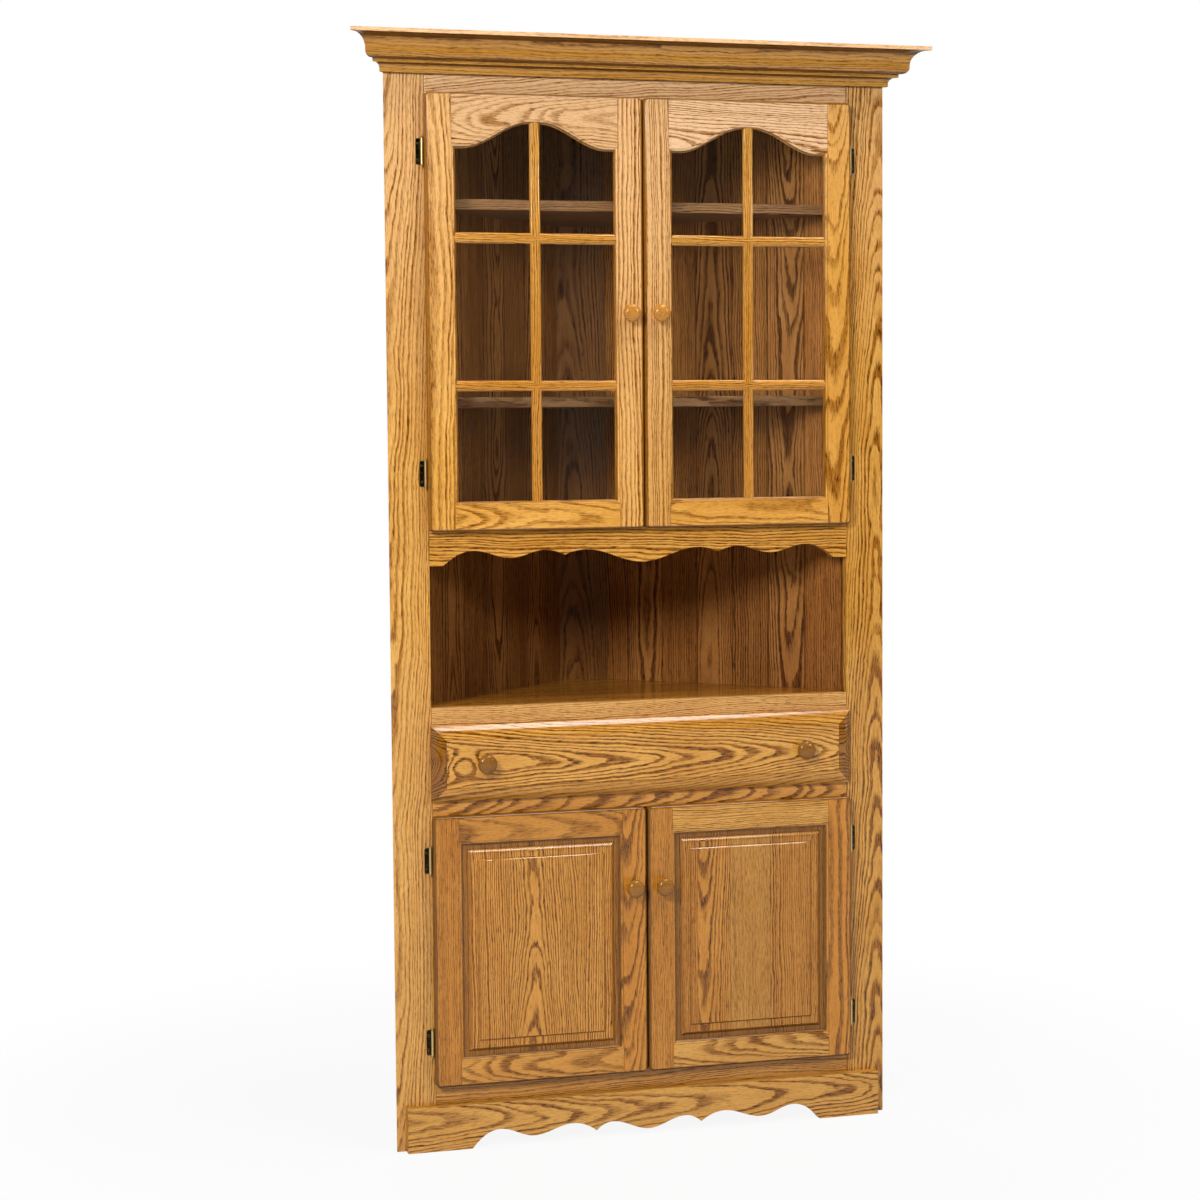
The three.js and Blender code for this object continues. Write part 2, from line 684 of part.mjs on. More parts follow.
// Section of a glazing bar, as [across, depth], tapering to a narrow face.
function barSection() {
  const face = DOOR_FRONT + BAR_SETBACK;
  const shoulder = REBATE_FRONT - BAR_EDGE_THICKNESS;
  return [
    [-BAR_WIDTH / 2, REBATE_FRONT],
    [BAR_WIDTH / 2, REBATE_FRONT],
    [BAR_WIDTH / 2, shoulder],
    [BAR_FACE_WIDTH / 2, face],
    [-BAR_FACE_WIDTH / 2, face],
    [-BAR_WIDTH / 2, shoulder],
  ];
}

function upright(middle, zs) {
  return raise(barSection().map(([across, y]) => [middle + across, y]), zs);
}

function crossbar([x0, x1], height) {
  const ring = (x) => barSection().map(([across, y]) => [x, y, height + across]);
  return loft([ring(x0), ring(x1)], ([, y, z]) => [y, z]);
}

function makePanelDoor(name, side) {
  const xs = sided(side, DOOR_GAP / 2, HALF_DOORS);
  const zs = [LOWER_DOOR_LIFT, LOWER_DOOR_TOP];
  const sightX = sightOf(xs);
  const sightZ = sightOf(zs);
  const grooveFront = DOOR_FRONT + PANEL_GROOVE_SETBACK;
  const grooveBack = grooveFront + PANEL_GROOVE_WIDTH;
  const groove = shapedBoard(sightX, sightZ, [
    [-PANEL_GROOVE_DEPTH, grooveFront],
    [-PANEL_GROOVE_DEPTH, grooveBack],
  ]);
  const outlineAt = (offset) => rectangle(sightX, sightZ, -offset);
  const frame = cut(doorSlab(xs, zs), windowRings(outlineAt, DOOR_BACK + CUT_OVERRUN, 0), groove);
  addPiece(`${name}_frame`, frame, oak);

  const fieldFace = DOOR_FRONT + PANEL_FIELD_SETBACK;
  const tongueFace = grooveFront + FIT;
  const beadFace = fieldFace + PANEL_BEAD_DROP;
  const bead = PANEL_BEAD_SHARES.map(([across, rise]) => [
    across * PANEL_BEAD_WIDTH,
    tongueFace + (beadFace - tongueFace) * rise,
  ]);
  const panel = shapedBoard(sightX, sightZ, [
    [FIT - PANEL_GROOVE_DEPTH, grooveBack - FIT],
    [FIT - PANEL_GROOVE_DEPTH, tongueFace],
    ...bead,
    [PANEL_BEAD_WIDTH + PANEL_QUIRK, beadFace + PANEL_QUIRK],
    [PANEL_BEVEL_WIDTH, fieldFace + PANEL_STEP],
    [PANEL_BEVEL_WIDTH, fieldFace],
  ]);
  addPiece(`${name}_panel`, panel, oak);
}

// Turned knob whose foot stands on a face and whose head points to the front.
function knob([x, face, z], radius) {
  const section = [[0, 0], ...KNOB_SHARES, [0, 1]];
  const points = section.map(([across, along]) => new THREE.Vector2(across * radius, along * KNOB_LENGTH));
  const geometry = new THREE.LatheGeometry(points, KNOB_SEGMENTS);
  geometry.rotateZ(Math.PI);
  geometry.translate(x, face - FIT, z);
  return geometry;
}

function makeDrawer() {
  const zs = [DRAWER_BOTTOM, DRAWER_TOP];
  const edgeFace = DRAWER_FRONT_BACK - DRAWER_EDGE_THICKNESS;
  const fieldFoot = DRAWER_FRONT_FACE + DRAWER_STEP;
  const bevel = DRAWER_BEVEL_SHARES.map(([across, rise]) => [
    across * DRAWER_BEVEL,
    edgeFace + (fieldFoot - edgeFace) * rise,
  ]);
  const profile = [[0, DRAWER_FRONT_BACK], ...bevel, [DRAWER_BEVEL, DRAWER_FRONT_FACE]];
  addPiece("drawer_front", shapedBoard([-HALF_DOORS, HALF_DOORS], zs, profile), oak);

  const half = DRAWER_BOX_WIDTH / 2;
  const boxZ = [DECK_TOP + DRAWER_RUNNING_GAP, DECK_TOP + DRAWER_RUNNING_GAP + DRAWER_BOX_HEIGHT];
  const boxFront = DRAWER_FRONT_BACK + FIT;
  const boxBack = WALL_INNER_SUM - half - DRAWER_BOX_WALL_GAP;
  const baseZ = [boxZ[0] + DRAWER_BASE_LIFT, boxZ[0] + DRAWER_BASE_LIFT + DRAWER_BASE_THICKNESS];
  const innerHalf = half - DRAWER_SIDE_THICKNESS;
  const frontYs = [boxFront, boxFront + DRAWER_SIDE_THICKNESS];
  const backYs = [boxBack - DRAWER_SIDE_THICKNESS, boxBack];
  const sideYs = [frontYs[1] + FIT, backYs[0] - FIT];
  addPiece("drawer_box_front", block([-half, half], frontYs, boxZ), paleOak);
  addPiece("drawer_box_back", block([-half, half], backYs, boxZ), paleOak);
  for (const [name, side] of [["drawer_box_left", -1], ["drawer_box_right", 1]]) {
    addPiece(name, block(sided(side, innerHalf, half), sideYs, boxZ), paleOak);
  }
  addPiece("drawer_box_base", block([FIT - innerHalf, innerHalf - FIT], sideYs, baseZ), paleOak);

  const guideX = [half + GUIDE_SIDE_GAP, half + GUIDE_SIDE_GAP + GUIDE_WIDTH];
  const guideBack = WALL_INNER_SUM - guideX[1] - FIT * DIAGONAL;
  for (const [name, side] of [["drawer_guide_left", -1], ["drawer_guide_right", 1]]) {
    const guideZ = [DECK_TOP + FIT, DECK_TOP + FIT + GUIDE_HEIGHT];
    addPiece(name, block(sided(side, ...guideX), [BEHIND_FRAME, guideBack], guideZ), paleOak);
  }

  const knobHeight = (DRAWER_BOTTOM + DRAWER_TOP) / 2;
  for (const [name, side] of [["drawer_knob_left", -1], ["drawer_knob_right", 1]]) {
    const place = [side * (HALF_DOORS - DRAWER_KNOB_INSET), DRAWER_FRONT_FACE, knobHeight];
    addPiece(name, knob(place, DRAWER_KNOB_RADIUS), oak);
  }
}

function barrel(radius, [z0, z1]) {
  const geometry = new THREE.CylinderGeometry(radius, radius, z1 - z0, BARREL_SIDES);
  geometry.rotateX(Math.PI / 2);
  geometry.translate(0, 0, (z0 + z1) / 2);
  return geometry;
}

// Small turned button at an end of a barrel.
function finial(z, direction) {
  const section = [[0, 0], ...FINIAL_SHARES, [0, 1]];
  const points = section.map(
    ([across, up]) => new THREE.Vector2(across * BARREL_RADIUS, up * FINIAL_LENGTH),
  );
  const geometry = new THREE.LatheGeometry(points, BARREL_SIDES);
  geometry.rotateX((direction * Math.PI) / 2);
  geometry.translate(0, 0, z);
  return geometry;
}

// A thin leaf from near the pin to its far edge, with the two far corners cut off.
function leaf(near, far, halfHeight, ys) {
  const corner = LEAF_CORNER * Math.sign(far - near);
  return deepen(
    [
      [near, -halfHeight],
      [far - corner, -halfHeight],
      [far, LEAF_CORNER - halfHeight],
      [far, halfHeight - LEAF_CORNER],
      [far - corner, halfHeight],
      [near, halfHeight],
    ],
    ys,
  );
}

// Both leaves of one hinge, drawn about its pin for a door on the pin's -X side and mirrored for
// the other hand.
function makeHinge(name, side, height) {
  const halfBarrel = HINGE_HEIGHT / 2 - FINIAL_LENGTH;
  const halfCentre = KNUCKLE_LENGTH / 2;
  const bearing = halfCentre + KNUCKLE_GAP;
  const leafYs = [BARREL_STANDOFF - DOOR_STANDOFF + FIT, BARREL_STANDOFF - FIT];
  const frameLeafStart = BARREL_RADIUS / 2;
  const knuckles = [
    [bearing, halfBarrel],
    [-halfBarrel, -bearing],
  ];
  const frameLeaf = join(
    leaf(frameLeafStart, frameLeafStart + FRAME_LEAF_WIDTH, halfBarrel, leafYs),
    ...knuckles.map((zs) => block([-NECK_HALF_WIDTH, NECK_HALF_WIDTH * 2], [0, leafYs[1]], zs)),
    ...knuckles.map((zs) => barrel(BARREL_RADIUS, zs)),
    barrel(PIN_RADIUS, [-halfBarrel, halfBarrel]),
    finial(halfBarrel, 1),
    finial(-halfBarrel, -1),
  );
  const doorLeaf = cut(
    join(
      barrel(BARREL_RADIUS, [-halfCentre, halfCentre]),
      block([-NECK_HALF_WIDTH, NECK_HALF_WIDTH], [0, leafYs[1]], [-halfCentre, halfCentre]),
      leaf(0, -DOOR_LEAF_WIDTH, halfCentre, leafYs),
    ),
    barrel(PIN_BORE_RADIUS, [-HINGE_HEIGHT, HINGE_HEIGHT]),
  );
  for (const [suffix, geometry] of [["frame_leaf", frameLeaf], ["door_leaf", doorLeaf]]) {
    if (side < 0) mirrorAcross(geometry);
    geometry.translate(side * HINGE_AXIS_X, -BARREL_STANDOFF, height);
    addPiece(`${name}_${suffix}`, geometry, brass);
  }
}

// Swaps left and right, and turns every triangle so that it still faces out.
function mirrorAcross(geometry) {
  geometry.scale(-1, 1, 1);
  geometry.index.array.reverse();
}

makeFaceFrame();
makeCrown();
makeWalls();
makeLevelBoards();
for (const [hand, side] of [["left", -1], ["right", 1]]) {
  const knobX = side * (DOOR_GAP / 2 + KNOB_EDGE_INSET);
  makeGlazedDoor(`upper_door_${hand}`, side);
  makePanelDoor(`lower_door_${hand}`, side);
  addPiece(`upper_knob_${hand}`, knob([knobX, DOOR_FRONT, UPPER_KNOB_HEIGHT], DOOR_KNOB_RADIUS), oak);
  addPiece(`lower_knob_${hand}`, knob([knobX, DOOR_FRONT, LOWER_KNOB_HEIGHT], DOOR_KNOB_RADIUS), oak);
  makeHinge(`hinge_${hand}_1`, side, UPPER_DOOR_TOP - HINGE_UPPER_INSET);
  makeHinge(`hinge_${hand}_2`, side, UPPER_DOOR_BOTTOM + HINGE_UPPER_INSET);
  makeHinge(`hinge_${hand}_3`, side, LOWER_DOOR_TOP - HINGE_LOWER_INSET);
  makeHinge(`hinge_${hand}_4`, side, LOWER_DOOR_LIFT + HINGE_LOWER_INSET);
}
makeDrawer();

export default cupboard;
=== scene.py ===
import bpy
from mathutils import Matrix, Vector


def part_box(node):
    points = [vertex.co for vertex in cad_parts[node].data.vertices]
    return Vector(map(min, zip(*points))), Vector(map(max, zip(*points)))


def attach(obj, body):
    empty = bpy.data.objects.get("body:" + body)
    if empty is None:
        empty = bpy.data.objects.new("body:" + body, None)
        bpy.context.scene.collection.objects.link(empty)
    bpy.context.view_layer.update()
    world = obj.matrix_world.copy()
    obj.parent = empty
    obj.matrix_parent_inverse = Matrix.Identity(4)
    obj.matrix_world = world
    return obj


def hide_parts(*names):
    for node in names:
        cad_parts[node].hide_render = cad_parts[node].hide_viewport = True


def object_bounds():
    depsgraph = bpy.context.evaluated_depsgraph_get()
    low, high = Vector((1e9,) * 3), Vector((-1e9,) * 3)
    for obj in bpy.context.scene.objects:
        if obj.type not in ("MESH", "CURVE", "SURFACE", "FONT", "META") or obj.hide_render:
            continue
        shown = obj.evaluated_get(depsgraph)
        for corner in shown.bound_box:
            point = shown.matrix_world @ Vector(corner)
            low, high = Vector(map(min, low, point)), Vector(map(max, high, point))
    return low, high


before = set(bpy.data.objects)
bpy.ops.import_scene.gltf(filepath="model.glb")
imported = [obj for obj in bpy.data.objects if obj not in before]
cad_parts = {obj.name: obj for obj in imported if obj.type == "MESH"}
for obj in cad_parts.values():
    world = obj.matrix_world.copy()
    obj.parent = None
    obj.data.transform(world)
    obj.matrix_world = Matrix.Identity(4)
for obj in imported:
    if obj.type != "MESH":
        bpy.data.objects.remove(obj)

import copy
import math
import random
from itertools import accumulate

import bmesh
import bpy
from mathutils import Matrix, Vector
from mathutils.geometry import tessellate_polygon

cad_low, cad_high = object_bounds()

# Axes of the cupboard, in metres: X to the right, the room's corner towards +Y, Z up
RIGHT = Vector((1, 0, 0))
BACK = Vector((0, 1, 0))
UP = Vector((0, 0, 1))

# Small sizes that the frame's boxes don't give. A stain is how much darker wood is there, a painted shade how
# much darker it is painted where shade falls, and some edges get both at once. A lean is a limit on one part
# of a face's normal
FIT = 0.0003
SOFT_EDGE = 0.0012
SHELF_EDGE = 0.0016
EDGE_STEPS = 3
SHARP_ANGLE = math.radians(38)
SOFTEN_ANGLE = math.radians(30)
TINY = 1e-6
FLAT_WIDTH = 0.046
STICKING_WIDTH = 0.007
STICKING_DEPTH = 0.006
STICKING_STEP = 0.0008
STICKING_FILLET = 0.0009
STICKING_SLOPE = 0.00025
EDGE_STAIN_AND_SHADE = 1.50
UNDER_EDGE_PAINTED_SHADE = 2.20
EDGE_FIGURE = 0.6
DOOR_EDGE_LEANS = (-0.94, 0.5)
UNDER_EDGE_LEAN = -0.5
DOOR_ROUND = 0.0055
DOOR_CORNER = 0.0085
DOOR_CORNER_LEAST = 0.0015
DOOR_CORNER_STEPS = 4
ROUND_STEPS = 6
REBATE_WIDTH = 0.008
REBATE_DEPTH = 0.009
JOINT_HALF_WIDTH = 0.0003
JOINT_DEPTH = 0.0005
ARCH_SHOULDER_DROP = 0.090
ARCH_RISE = 0.045
ARCH_SHOULDER = 0.013
ARCH_CROWN = 0.008
ARCH_STEPS = 22

# Where the face frame and the two kinds of door stand, and how wide a door's border is
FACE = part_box("left_stile")[0].y
DOOR_FRONT, DOOR_BACK = (corner.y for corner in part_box("upper_door_left_frame"))
BORDER = FLAT_WIDTH + STICKING_WIDTH
REVEAL_WIDTH = FLAT_WIDTH + STICKING_WIDTH * 1.1

# A board without an eye has it far beyond its end. Between two heights the front's wood is painted paler and
# less orange: painted light, for the stronger light on the cupboard's upper part
NO_EYE = -50.0
PAINTED_LIGHT_PALING = 0.5
PAINTED_LIGHT_FOOT = 1.25
PAINTED_LIGHT_HEAD = 1.90
# Ranges that a board's values are drawn from where none are given; shift is where along its tree it lay
HEART_RANGE = (-0.7, 0.7)
DEPTH_RANGE = (0.03, 0.07)
TAPER_RANGE = (0.012, 0.028)
RING_RANGE = (0.0034, 0.0052)
TONE_RANGE = (-0.5, 0.5)
SHIFT_RANGE = (5, 90)
WARMTH_RANGE = (-0.5, 0.5)
FIGURE_RANGE = (0.8, 1.1)


class Board:
    """How one board was sawn from its tree, as the wood's material needs it.

    cut holds up to seven values: heart, depth, taper, ring, tone, warmth and figure. One that is None or
    left off is drawn at random. heart is where the tree's heart lay, as a share of the board's width from
    its middle. depth is how far behind the shown face it lay. taper tilts the rings along the board, which
    draws the pointed arches: above zero they point along the board. ring is the width of a year's growth,
    tone how light the board is, warmth how orange, and figure how strongly its grain shows. eye is where
    along the board its rings close round a swelling of the trunk.
    """

    def __init__(self, name, along, face, middle, width, cut=(), eye=None):
        draw = random.Random(name)
        self.along = along
        self.face = face
        self.across = face.cross(along)
        self.middle = middle
        drawn = [draw.uniform(*HEART_RANGE), draw.uniform(*DEPTH_RANGE)]
        drawn.append(draw.choice((-1, 1)) * draw.uniform(*TAPER_RANGE))
        drawn += [draw.uniform(*RING_RANGE), draw.uniform(*TONE_RANGE)]
        self.shift = draw.uniform(*SHIFT_RANGE)
        drawn += [draw.uniform(*WARMTH_RANGE), draw.uniform(*FIGURE_RANGE)]
        given = [*cut, *[None] * (len(drawn) - len(cut))]
        values = [chance if value is None else value for value, chance in zip(given, drawn)]
        heart, self.depth, self.taper, self.ring, self.tone, self.warmth, self.figure = values
        self.heart = width * heart
        self.eye = NO_EYE if eye is None else eye + self.shift

    def coordinates(self, point):
        """Across the board, out of its face and along it, measured from the tree's heart."""
        away = point - self.middle
        return (
            away.dot(self.across) - self.heart,
            away.dot(self.face) + self.depth,
            away.dot(self.along) + self.shift,
        )

    def cut(self):
        return (self.ring, self.taper, self.eye)

    def tint(self, height):
        """Its colour at a height above the floor: the upper part is painted paler, painted light for the
        stronger light there.
        """
        share = min(max((height - PAINTED_LIGHT_FOOT) / (PAINTED_LIGHT_HEAD - PAINTED_LIGHT_FOOT), 0), 1)
        return (self.tone, self.warmth - PAINTED_LIGHT_PALING * share, self.figure)

    def edge(self, darker, figure_share=EDGE_FIGURE):
        """The same board made darker by an amount: where its edge took more stain, or where shade is painted.
        A negative amount paints it lighter.
        """
        twin = copy.copy(self)
        twin.tone = self.tone - darker
        twin.warmth = self.warmth + darker
        twin.figure = self.figure * figure_share
        return twin


class Skin:
    """A mesh in the making: rings of points, walls between rings, and flat caps with or without holes."""

    def __init__(self):
        self.bm = bmesh.new()

    def ring(self, points):
        return [self.bm.verts.new(p) for p in points]

    def bridge(self, first, second):
        count = len(first)
        for i in range(count):
            j = (i + 1) % count
            self.bm.faces.new((first[i], first[j], second[j], second[i]))

    def sleeve(self, rings):
        made = [self.ring(points) for points in rings]
        for first, second in zip(made, made[1:]):
            self.bridge(first, second)
        return made

    def cap(self, outer, *holes):
        loops = [outer, *holes]
        vertices = [v for loop in loops for v in loop]
        for corners in tessellate_polygon([[v.co for v in loop] for loop in loops]):
            self.bm.faces.new([vertices[i] for i in corners])

    def done(self):
        bmesh.ops.recalc_face_normals(self.bm, faces=self.bm.faces)
        return self.bm


def soften(bm, radius, steps=EDGE_STEPS):
    """Rounds every edge of a mesh that is sharper than about 30 degrees."""
    edges = [e for e in bm.edges if len(e.link_faces) == 2 and e.calc_face_angle() > SOFTEN_ANGLE]
    bmesh.ops.bevel(
        bm, geom=edges, offset=radius, segments=steps, profile=0.5, affect="EDGES", clamp_overlap=True
    )
    return bm


def slice_along(bm, axis, places):
    """Cuts the faces of a mesh in planes across an axis, and leaves the shape as it is."""
    for place in places:
        geometry = list(bm.verts) + list(bm.edges) + list(bm.faces)
        bmesh.ops.bisect_plane(bm, geom=geometry, plane_co=axis * place, plane_no=axis, dist=TINY)
    return bm


def closed(rings):
    """A solid with walls between rings of points and a cap at both ends."""
    skin = Skin()
    made = skin.sleeve(rings)
    skin.cap(made[0])
    skin.cap(made[-1])
    return skin.done()


def level_prism(outline, low, high):
    return closed([[Vector((a, b, level)) for a, b in outline] for level in (low, high)])


def front_prism(outline, low, high):
    return closed([[Vector((a, level, b)) for a, b in outline] for level in (low, high)])


def narrowing(low, high):
    """Outline of a level board whose ends run back and inwards at 45 degrees, as the walls do."""
    half_rear = high.x - (high.y - low.y)
    return [(-high.x, low.y), (high.x, low.y), (half_rear, high.y), (-half_rear, high.y)]


def brick(low, high):
    return level_prism([(low.x, low.y), (high.x, low.y), (high.x, high.y), (low.x, high.y)], low.z, high.z)


def mesh_from(name, bm):
    mesh = bpy.data.meshes.new(name)
    bm.to_mesh(mesh)
    bm.free()
    return mesh


def add_object(name, data):
    made = bpy.data.objects.new(name, data)
    bpy.context.scene.collection.objects.link(made)
    return made


def finish_mesh(name, bm, material):
    mesh = mesh_from(name, bm)
    mesh.polygons.foreach_set("use_smooth", [True] * len(mesh.polygons))
    mesh.set_sharp_from_angle(angle=SHARP_ANGLE)
    mesh.materials.append(material)
    piece = add_object(name, mesh)
    piece.modifiers.new("even_normals", "WEIGHTED_NORMAL").keep_sharp = True
    return piece


def wooden(node, bm, choose, body="cabinet", wood="front_oak", slot="oak_front"):
    """Makes the wooden piece of a node. choose gives the Board of a face from its middle and its normal."""
    piece = finish_mesh(f"{node}_oak", bm, bpy.data.materials[wood])
    mesh = piece.data
    values = {"grain": [], "cut": [], "tint": []}
    for polygon in mesh.polygons:
        board = choose(polygon.center, polygon.normal)
        for loop in polygon.loop_indices:
            corner = mesh.vertices[mesh.loops[loop].vertex_index].co
            values["grain"].extend(board.coordinates(corner))
            values["cut"].extend(board.cut())
            # Only the front's boards get the painted light by height
            values["tint"].extend(board.tint(corner.z if slot == "oak_front" else 0))
    for name, flat in values.items():
        mesh.attributes.new(name, "FLOAT_VECTOR", "CORNER").data.foreach_set("vector", flat)
    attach(piece, body)
    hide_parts(node)


def one(board):
    return lambda middle, normal: board


class Graph:
    """Short names for the shader nodes that the materials and the world use."""

    def __init__(self, owner):
        owner.use_nodes = True
        self.owner = owner
        self.tree = owner.node_tree
        self.shader = self.tree.nodes.get("Principled BSDF")

    def put(self, socket, value):
        if isinstance(value, bpy.types.NodeSocket):
            self.tree.links.new(value, socket)
        else:
            socket.default_value = value

    def node(self, kind, inputs, output=0, **settings):
        """Adds a node, sets or links its inputs, and gives one of its outputs."""
        made = self.tree.nodes.new(kind)
        for key, value in settings.items():
            setattr(made, key, value)
        for key, value in inputs.items():
            self.put(made.inputs[key], value)
        return made.outputs[output]

    def math(self, operation, *values):
        return self.node("ShaderNodeMath", dict(enumerate(values)), operation=operation)

    def times(self, first, second):
        return self.math("MULTIPLY", first, second)

    def scaled(self, value, factor, added):
        return self.math("MULTIPLY_ADD", value, factor, added)

    def clamp(self, value):
        return self.node("ShaderNodeClamp", {"Value": value})

    def between(self, value, low, high):
        """Rises smoothly from 0 at low to 1 at high."""
        inputs = {"Value": value, "From Min": low, "From Max": high}
        return self.node("ShaderNodeMapRange", inputs, interpolation_type="SMOOTHSTEP")

    def parts(self, vector):
        return self.node("ShaderNodeSeparateXYZ", {0: vector}).node.outputs

    def attribute(self, name, output="Vector"):
        return self.node("ShaderNodeAttribute", {}, output, attribute_name=name)

    def noise(self, vector, scale=1.0, detail=2.0, roughness=0.5, output="Fac"):
        inputs = {"Vector": vector, "Scale": scale, "Detail": detail, "Roughness": roughness}
        return self.node("ShaderNodeTexNoise", inputs, output)

    def mix(self, factor, first, second, blend="MIX"):
        first, second = (c if isinstance(c, bpy.types.NodeSocket) else (*c, 1) for c in (first, second))
        inputs = {0: factor, 6: first, 7: second}
        return self.node("ShaderNodeMix", inputs, 2, data_type="RGBA", blend_type=blend)

    def bump(self, height, strength, distance):
        return self.node("ShaderNodeBump", {"Height": height, "Strength": strength, "Distance": distance})

    def surface(self, **values):
        for key, value in values.items():
            self.put(self.shader.inputs[key.replace("_", " ").title().replace("Ior", "IOR")], value)

    def overlay(self, factor, other):
        """Shows another shader instead of the main one, by a factor."""
        shown = self.node("ShaderNodeMixShader", {0: factor, 1: self.shader.outputs[0], 2: other})
        self.put(self.tree.nodes["Material Output"].inputs["Surface"], shown)


# How the grain is drawn: lengths in metres, frequencies per metre across, out of and along the board
WANDER_PER_METRE = (2.6, 2.6, 1.5)
WANDER = 0.018
SWAY_PER_METRE = (17, 17, 8)
SWAY = 0.0055
JAG_PER_METRE = (260, 260, 42)
JAG = 0.0011
EYE_LENGTH = 0.040
EYE_HEIGHT = 0.024
EYE_SWELLING = 0.021
RING_DRIFT_PER_METRE = 50
RING_DRIFT = 3.8
STREAK_PER_METRE = (420, 420, 16)
PORE_PER_METRE = (560, 560, 62)
FADE_PER_METRE = (70, 70, 9)
FIBRE_PER_METRE = (800, 800, 8)
PATCH_PER_METRE = (16, 16, 3.5)
BLOTCH_PER_METRE = (45, 45, 9)
FLECK_PER_METRE = (640, 640, 85)
TONE_REACH = 0.35
PORE_DEPTH = 0.0004
COAT_DEPTH = 0.0003


def oak(name, light, mid, band, dark, warm, pale, lacquer, gloss, roughness):
    """Lacquered red oak, flat sawn: rings of dark open pores between smooth light bands."""
    g = Graph(bpy.data.materials.new(name))
    place = g.attribute("grain")
    across, out, along = g.parts(place)
    ring_width, taper, eye = g.parts(g.attribute("cut"))
    tone, warmth, figure = g.parts(g.attribute("tint"))

    def field(frequencies, detail=2, roughness=0.5, output="Fac"):
        stretched = g.node("ShaderNodeVectorMath", {0: place, 1: frequencies}, operation="MULTIPLY")
        return g.noise(stretched, 1.0, detail, roughness, output)

    def share(frequencies, low, high, detail=2, roughness=0.5):
        return g.between(field(frequencies, detail, roughness), low, high)

    wander = g.parts(field(WANDER_PER_METRE, 1, output="Color"))
    bent_across = g.scaled(g.math("SUBTRACT", wander[0], 0.5), WANDER * 2, across)
    bent_out = g.scaled(g.math("SUBTRACT", wander[1], 0.5), WANDER * 2, out)
    squares = g.scaled(bent_across, bent_across, g.times(bent_out, bent_out))
    radius = g.scaled(along, taper, g.math("SQRT", squares))
    from_eye = g.times(g.math("SUBTRACT", along, eye), 1 / EYE_LENGTH)
    over_eye = g.times(across, 1 / EYE_HEIGHT)
    from_eye = g.scaled(from_eye, from_eye, g.times(over_eye, over_eye))
    radius = g.scaled(g.math("EXPONENT", g.times(from_eye, -1.0)), EYE_SWELLING, radius)
    radius = g.scaled(field(SWAY_PER_METRE), SWAY * 2, radius)
    radius = g.scaled(field(JAG_PER_METRE, 3, 0.6), JAG * 2, radius)
    drift = g.noise(g.node("ShaderNodeCombineXYZ", {0: g.times(radius, RING_DRIFT_PER_METRE)}), detail=1)
    turns = g.scaled(drift, RING_DRIFT, g.math("DIVIDE", radius, ring_width))
    year = g.math("FRACT", turns)
    chance = g.node("ShaderNodeTexWhiteNoise", {"W": g.math("FLOOR", turns)}, "Value", noise_dimensions="1D")
    second_chance = g.parts(chance.node.outputs["Color"])[1]

    end_of_early = g.scaled(second_chance, 0.35, 0.45)
    fade = g.math("SUBTRACT", 1.0, g.between(g.math("DIVIDE", year, end_of_early), 0.35, 1.0))
    strength = g.times(g.scaled(chance, 0.55, 0.50), g.scaled(share(FADE_PER_METRE, 0.30, 0.62), 0.40, 0.65))
    early = g.times(g.times(g.between(year, 0.0, 0.12), fade), g.times(strength, figure))
    streaks = share(STREAK_PER_METRE, 0.30, 0.66, 3, 0.65)
    pores = share(PORE_PER_METRE, 0.50, 0.60, 2, 0.6)
    flecks = share(FLECK_PER_METRE, 0.56, 0.68, 1)
    line = g.clamp(g.times(early, g.scaled(streaks, 0.70, 0.65)))
    specks = g.clamp(g.scaled(flecks, 0.24, g.times(pores, g.scaled(early, 0.80, 0.16))))

    fibre = share(FIBRE_PER_METRE, 0.32, 0.70, 3, 0.6)
    patch = share(PATCH_PER_METRE, 0.30, 0.70)
    blotch = share(BLOTCH_PER_METRE, 0.40, 0.72)
    body = g.mix(g.clamp(g.scaled(blotch, 0.35, g.times(patch, 0.45))), light, mid)
    body = g.mix(g.times(fibre, 0.50), body, mid)
    body = g.mix(g.clamp(warmth), body, warm, "MULTIPLY")
    body = g.mix(g.clamp(g.times(warmth, -1.0)), body, pale)
    colour = g.mix(specks, g.mix(line, body, band), dark)
    shade = g.node("ShaderNodeHueSaturation", {"Value": g.scaled(tone, TONE_REACH, 1.0), "Color": colour})
    height = g.scaled(specks, -0.8, g.times(line, -0.3))
    g.surface(
        base_color=shade,
        roughness=g.scaled(specks, 0.2, roughness),
        specular_ior_level=0.0,
        normal=g.bump(height, 0.35, PORE_DEPTH),
        coat_weight=lacquer,
        coat_roughness=gloss,
        coat_normal=g.bump(height, 0.12, COAT_DEPTH),
    )


def antique_brass():
    """Brass darkened brown in its hollows, polished bright in patches and on the proud edges."""
    g = Graph(bpy.data.materials.new("antique_brass"))
    place = g.node("ShaderNodeTexCoord", {}, "Object")
    cloud = g.noise(place, 260, 4, 0.6)
    speck = g.noise(place, 1500)
    edge = g.between(g.node("ShaderNodeNewGeometry", {}, "Pointiness"), 0.50, 0.62)
    wear_and_painted_light = g.scaled(edge, 0.5, g.times(g.between(cloud, 0.52, 0.78), 0.25))
    wear_and_painted_light = g.clamp(g.scaled(g.attribute("handled", "Fac"), 0.75, wear_and_painted_light))
    g.surface(
        base_color=g.mix(wear_and_painted_light, (0.013, 0.009, 0.005), (0.66, 0.50, 0.22)),
        metallic=1.0,
        roughness=g.scaled(speck, 0.25, 0.22),
        normal=g.bump(speck, 0.15, COAT_DEPTH),
    )
    return g.owner


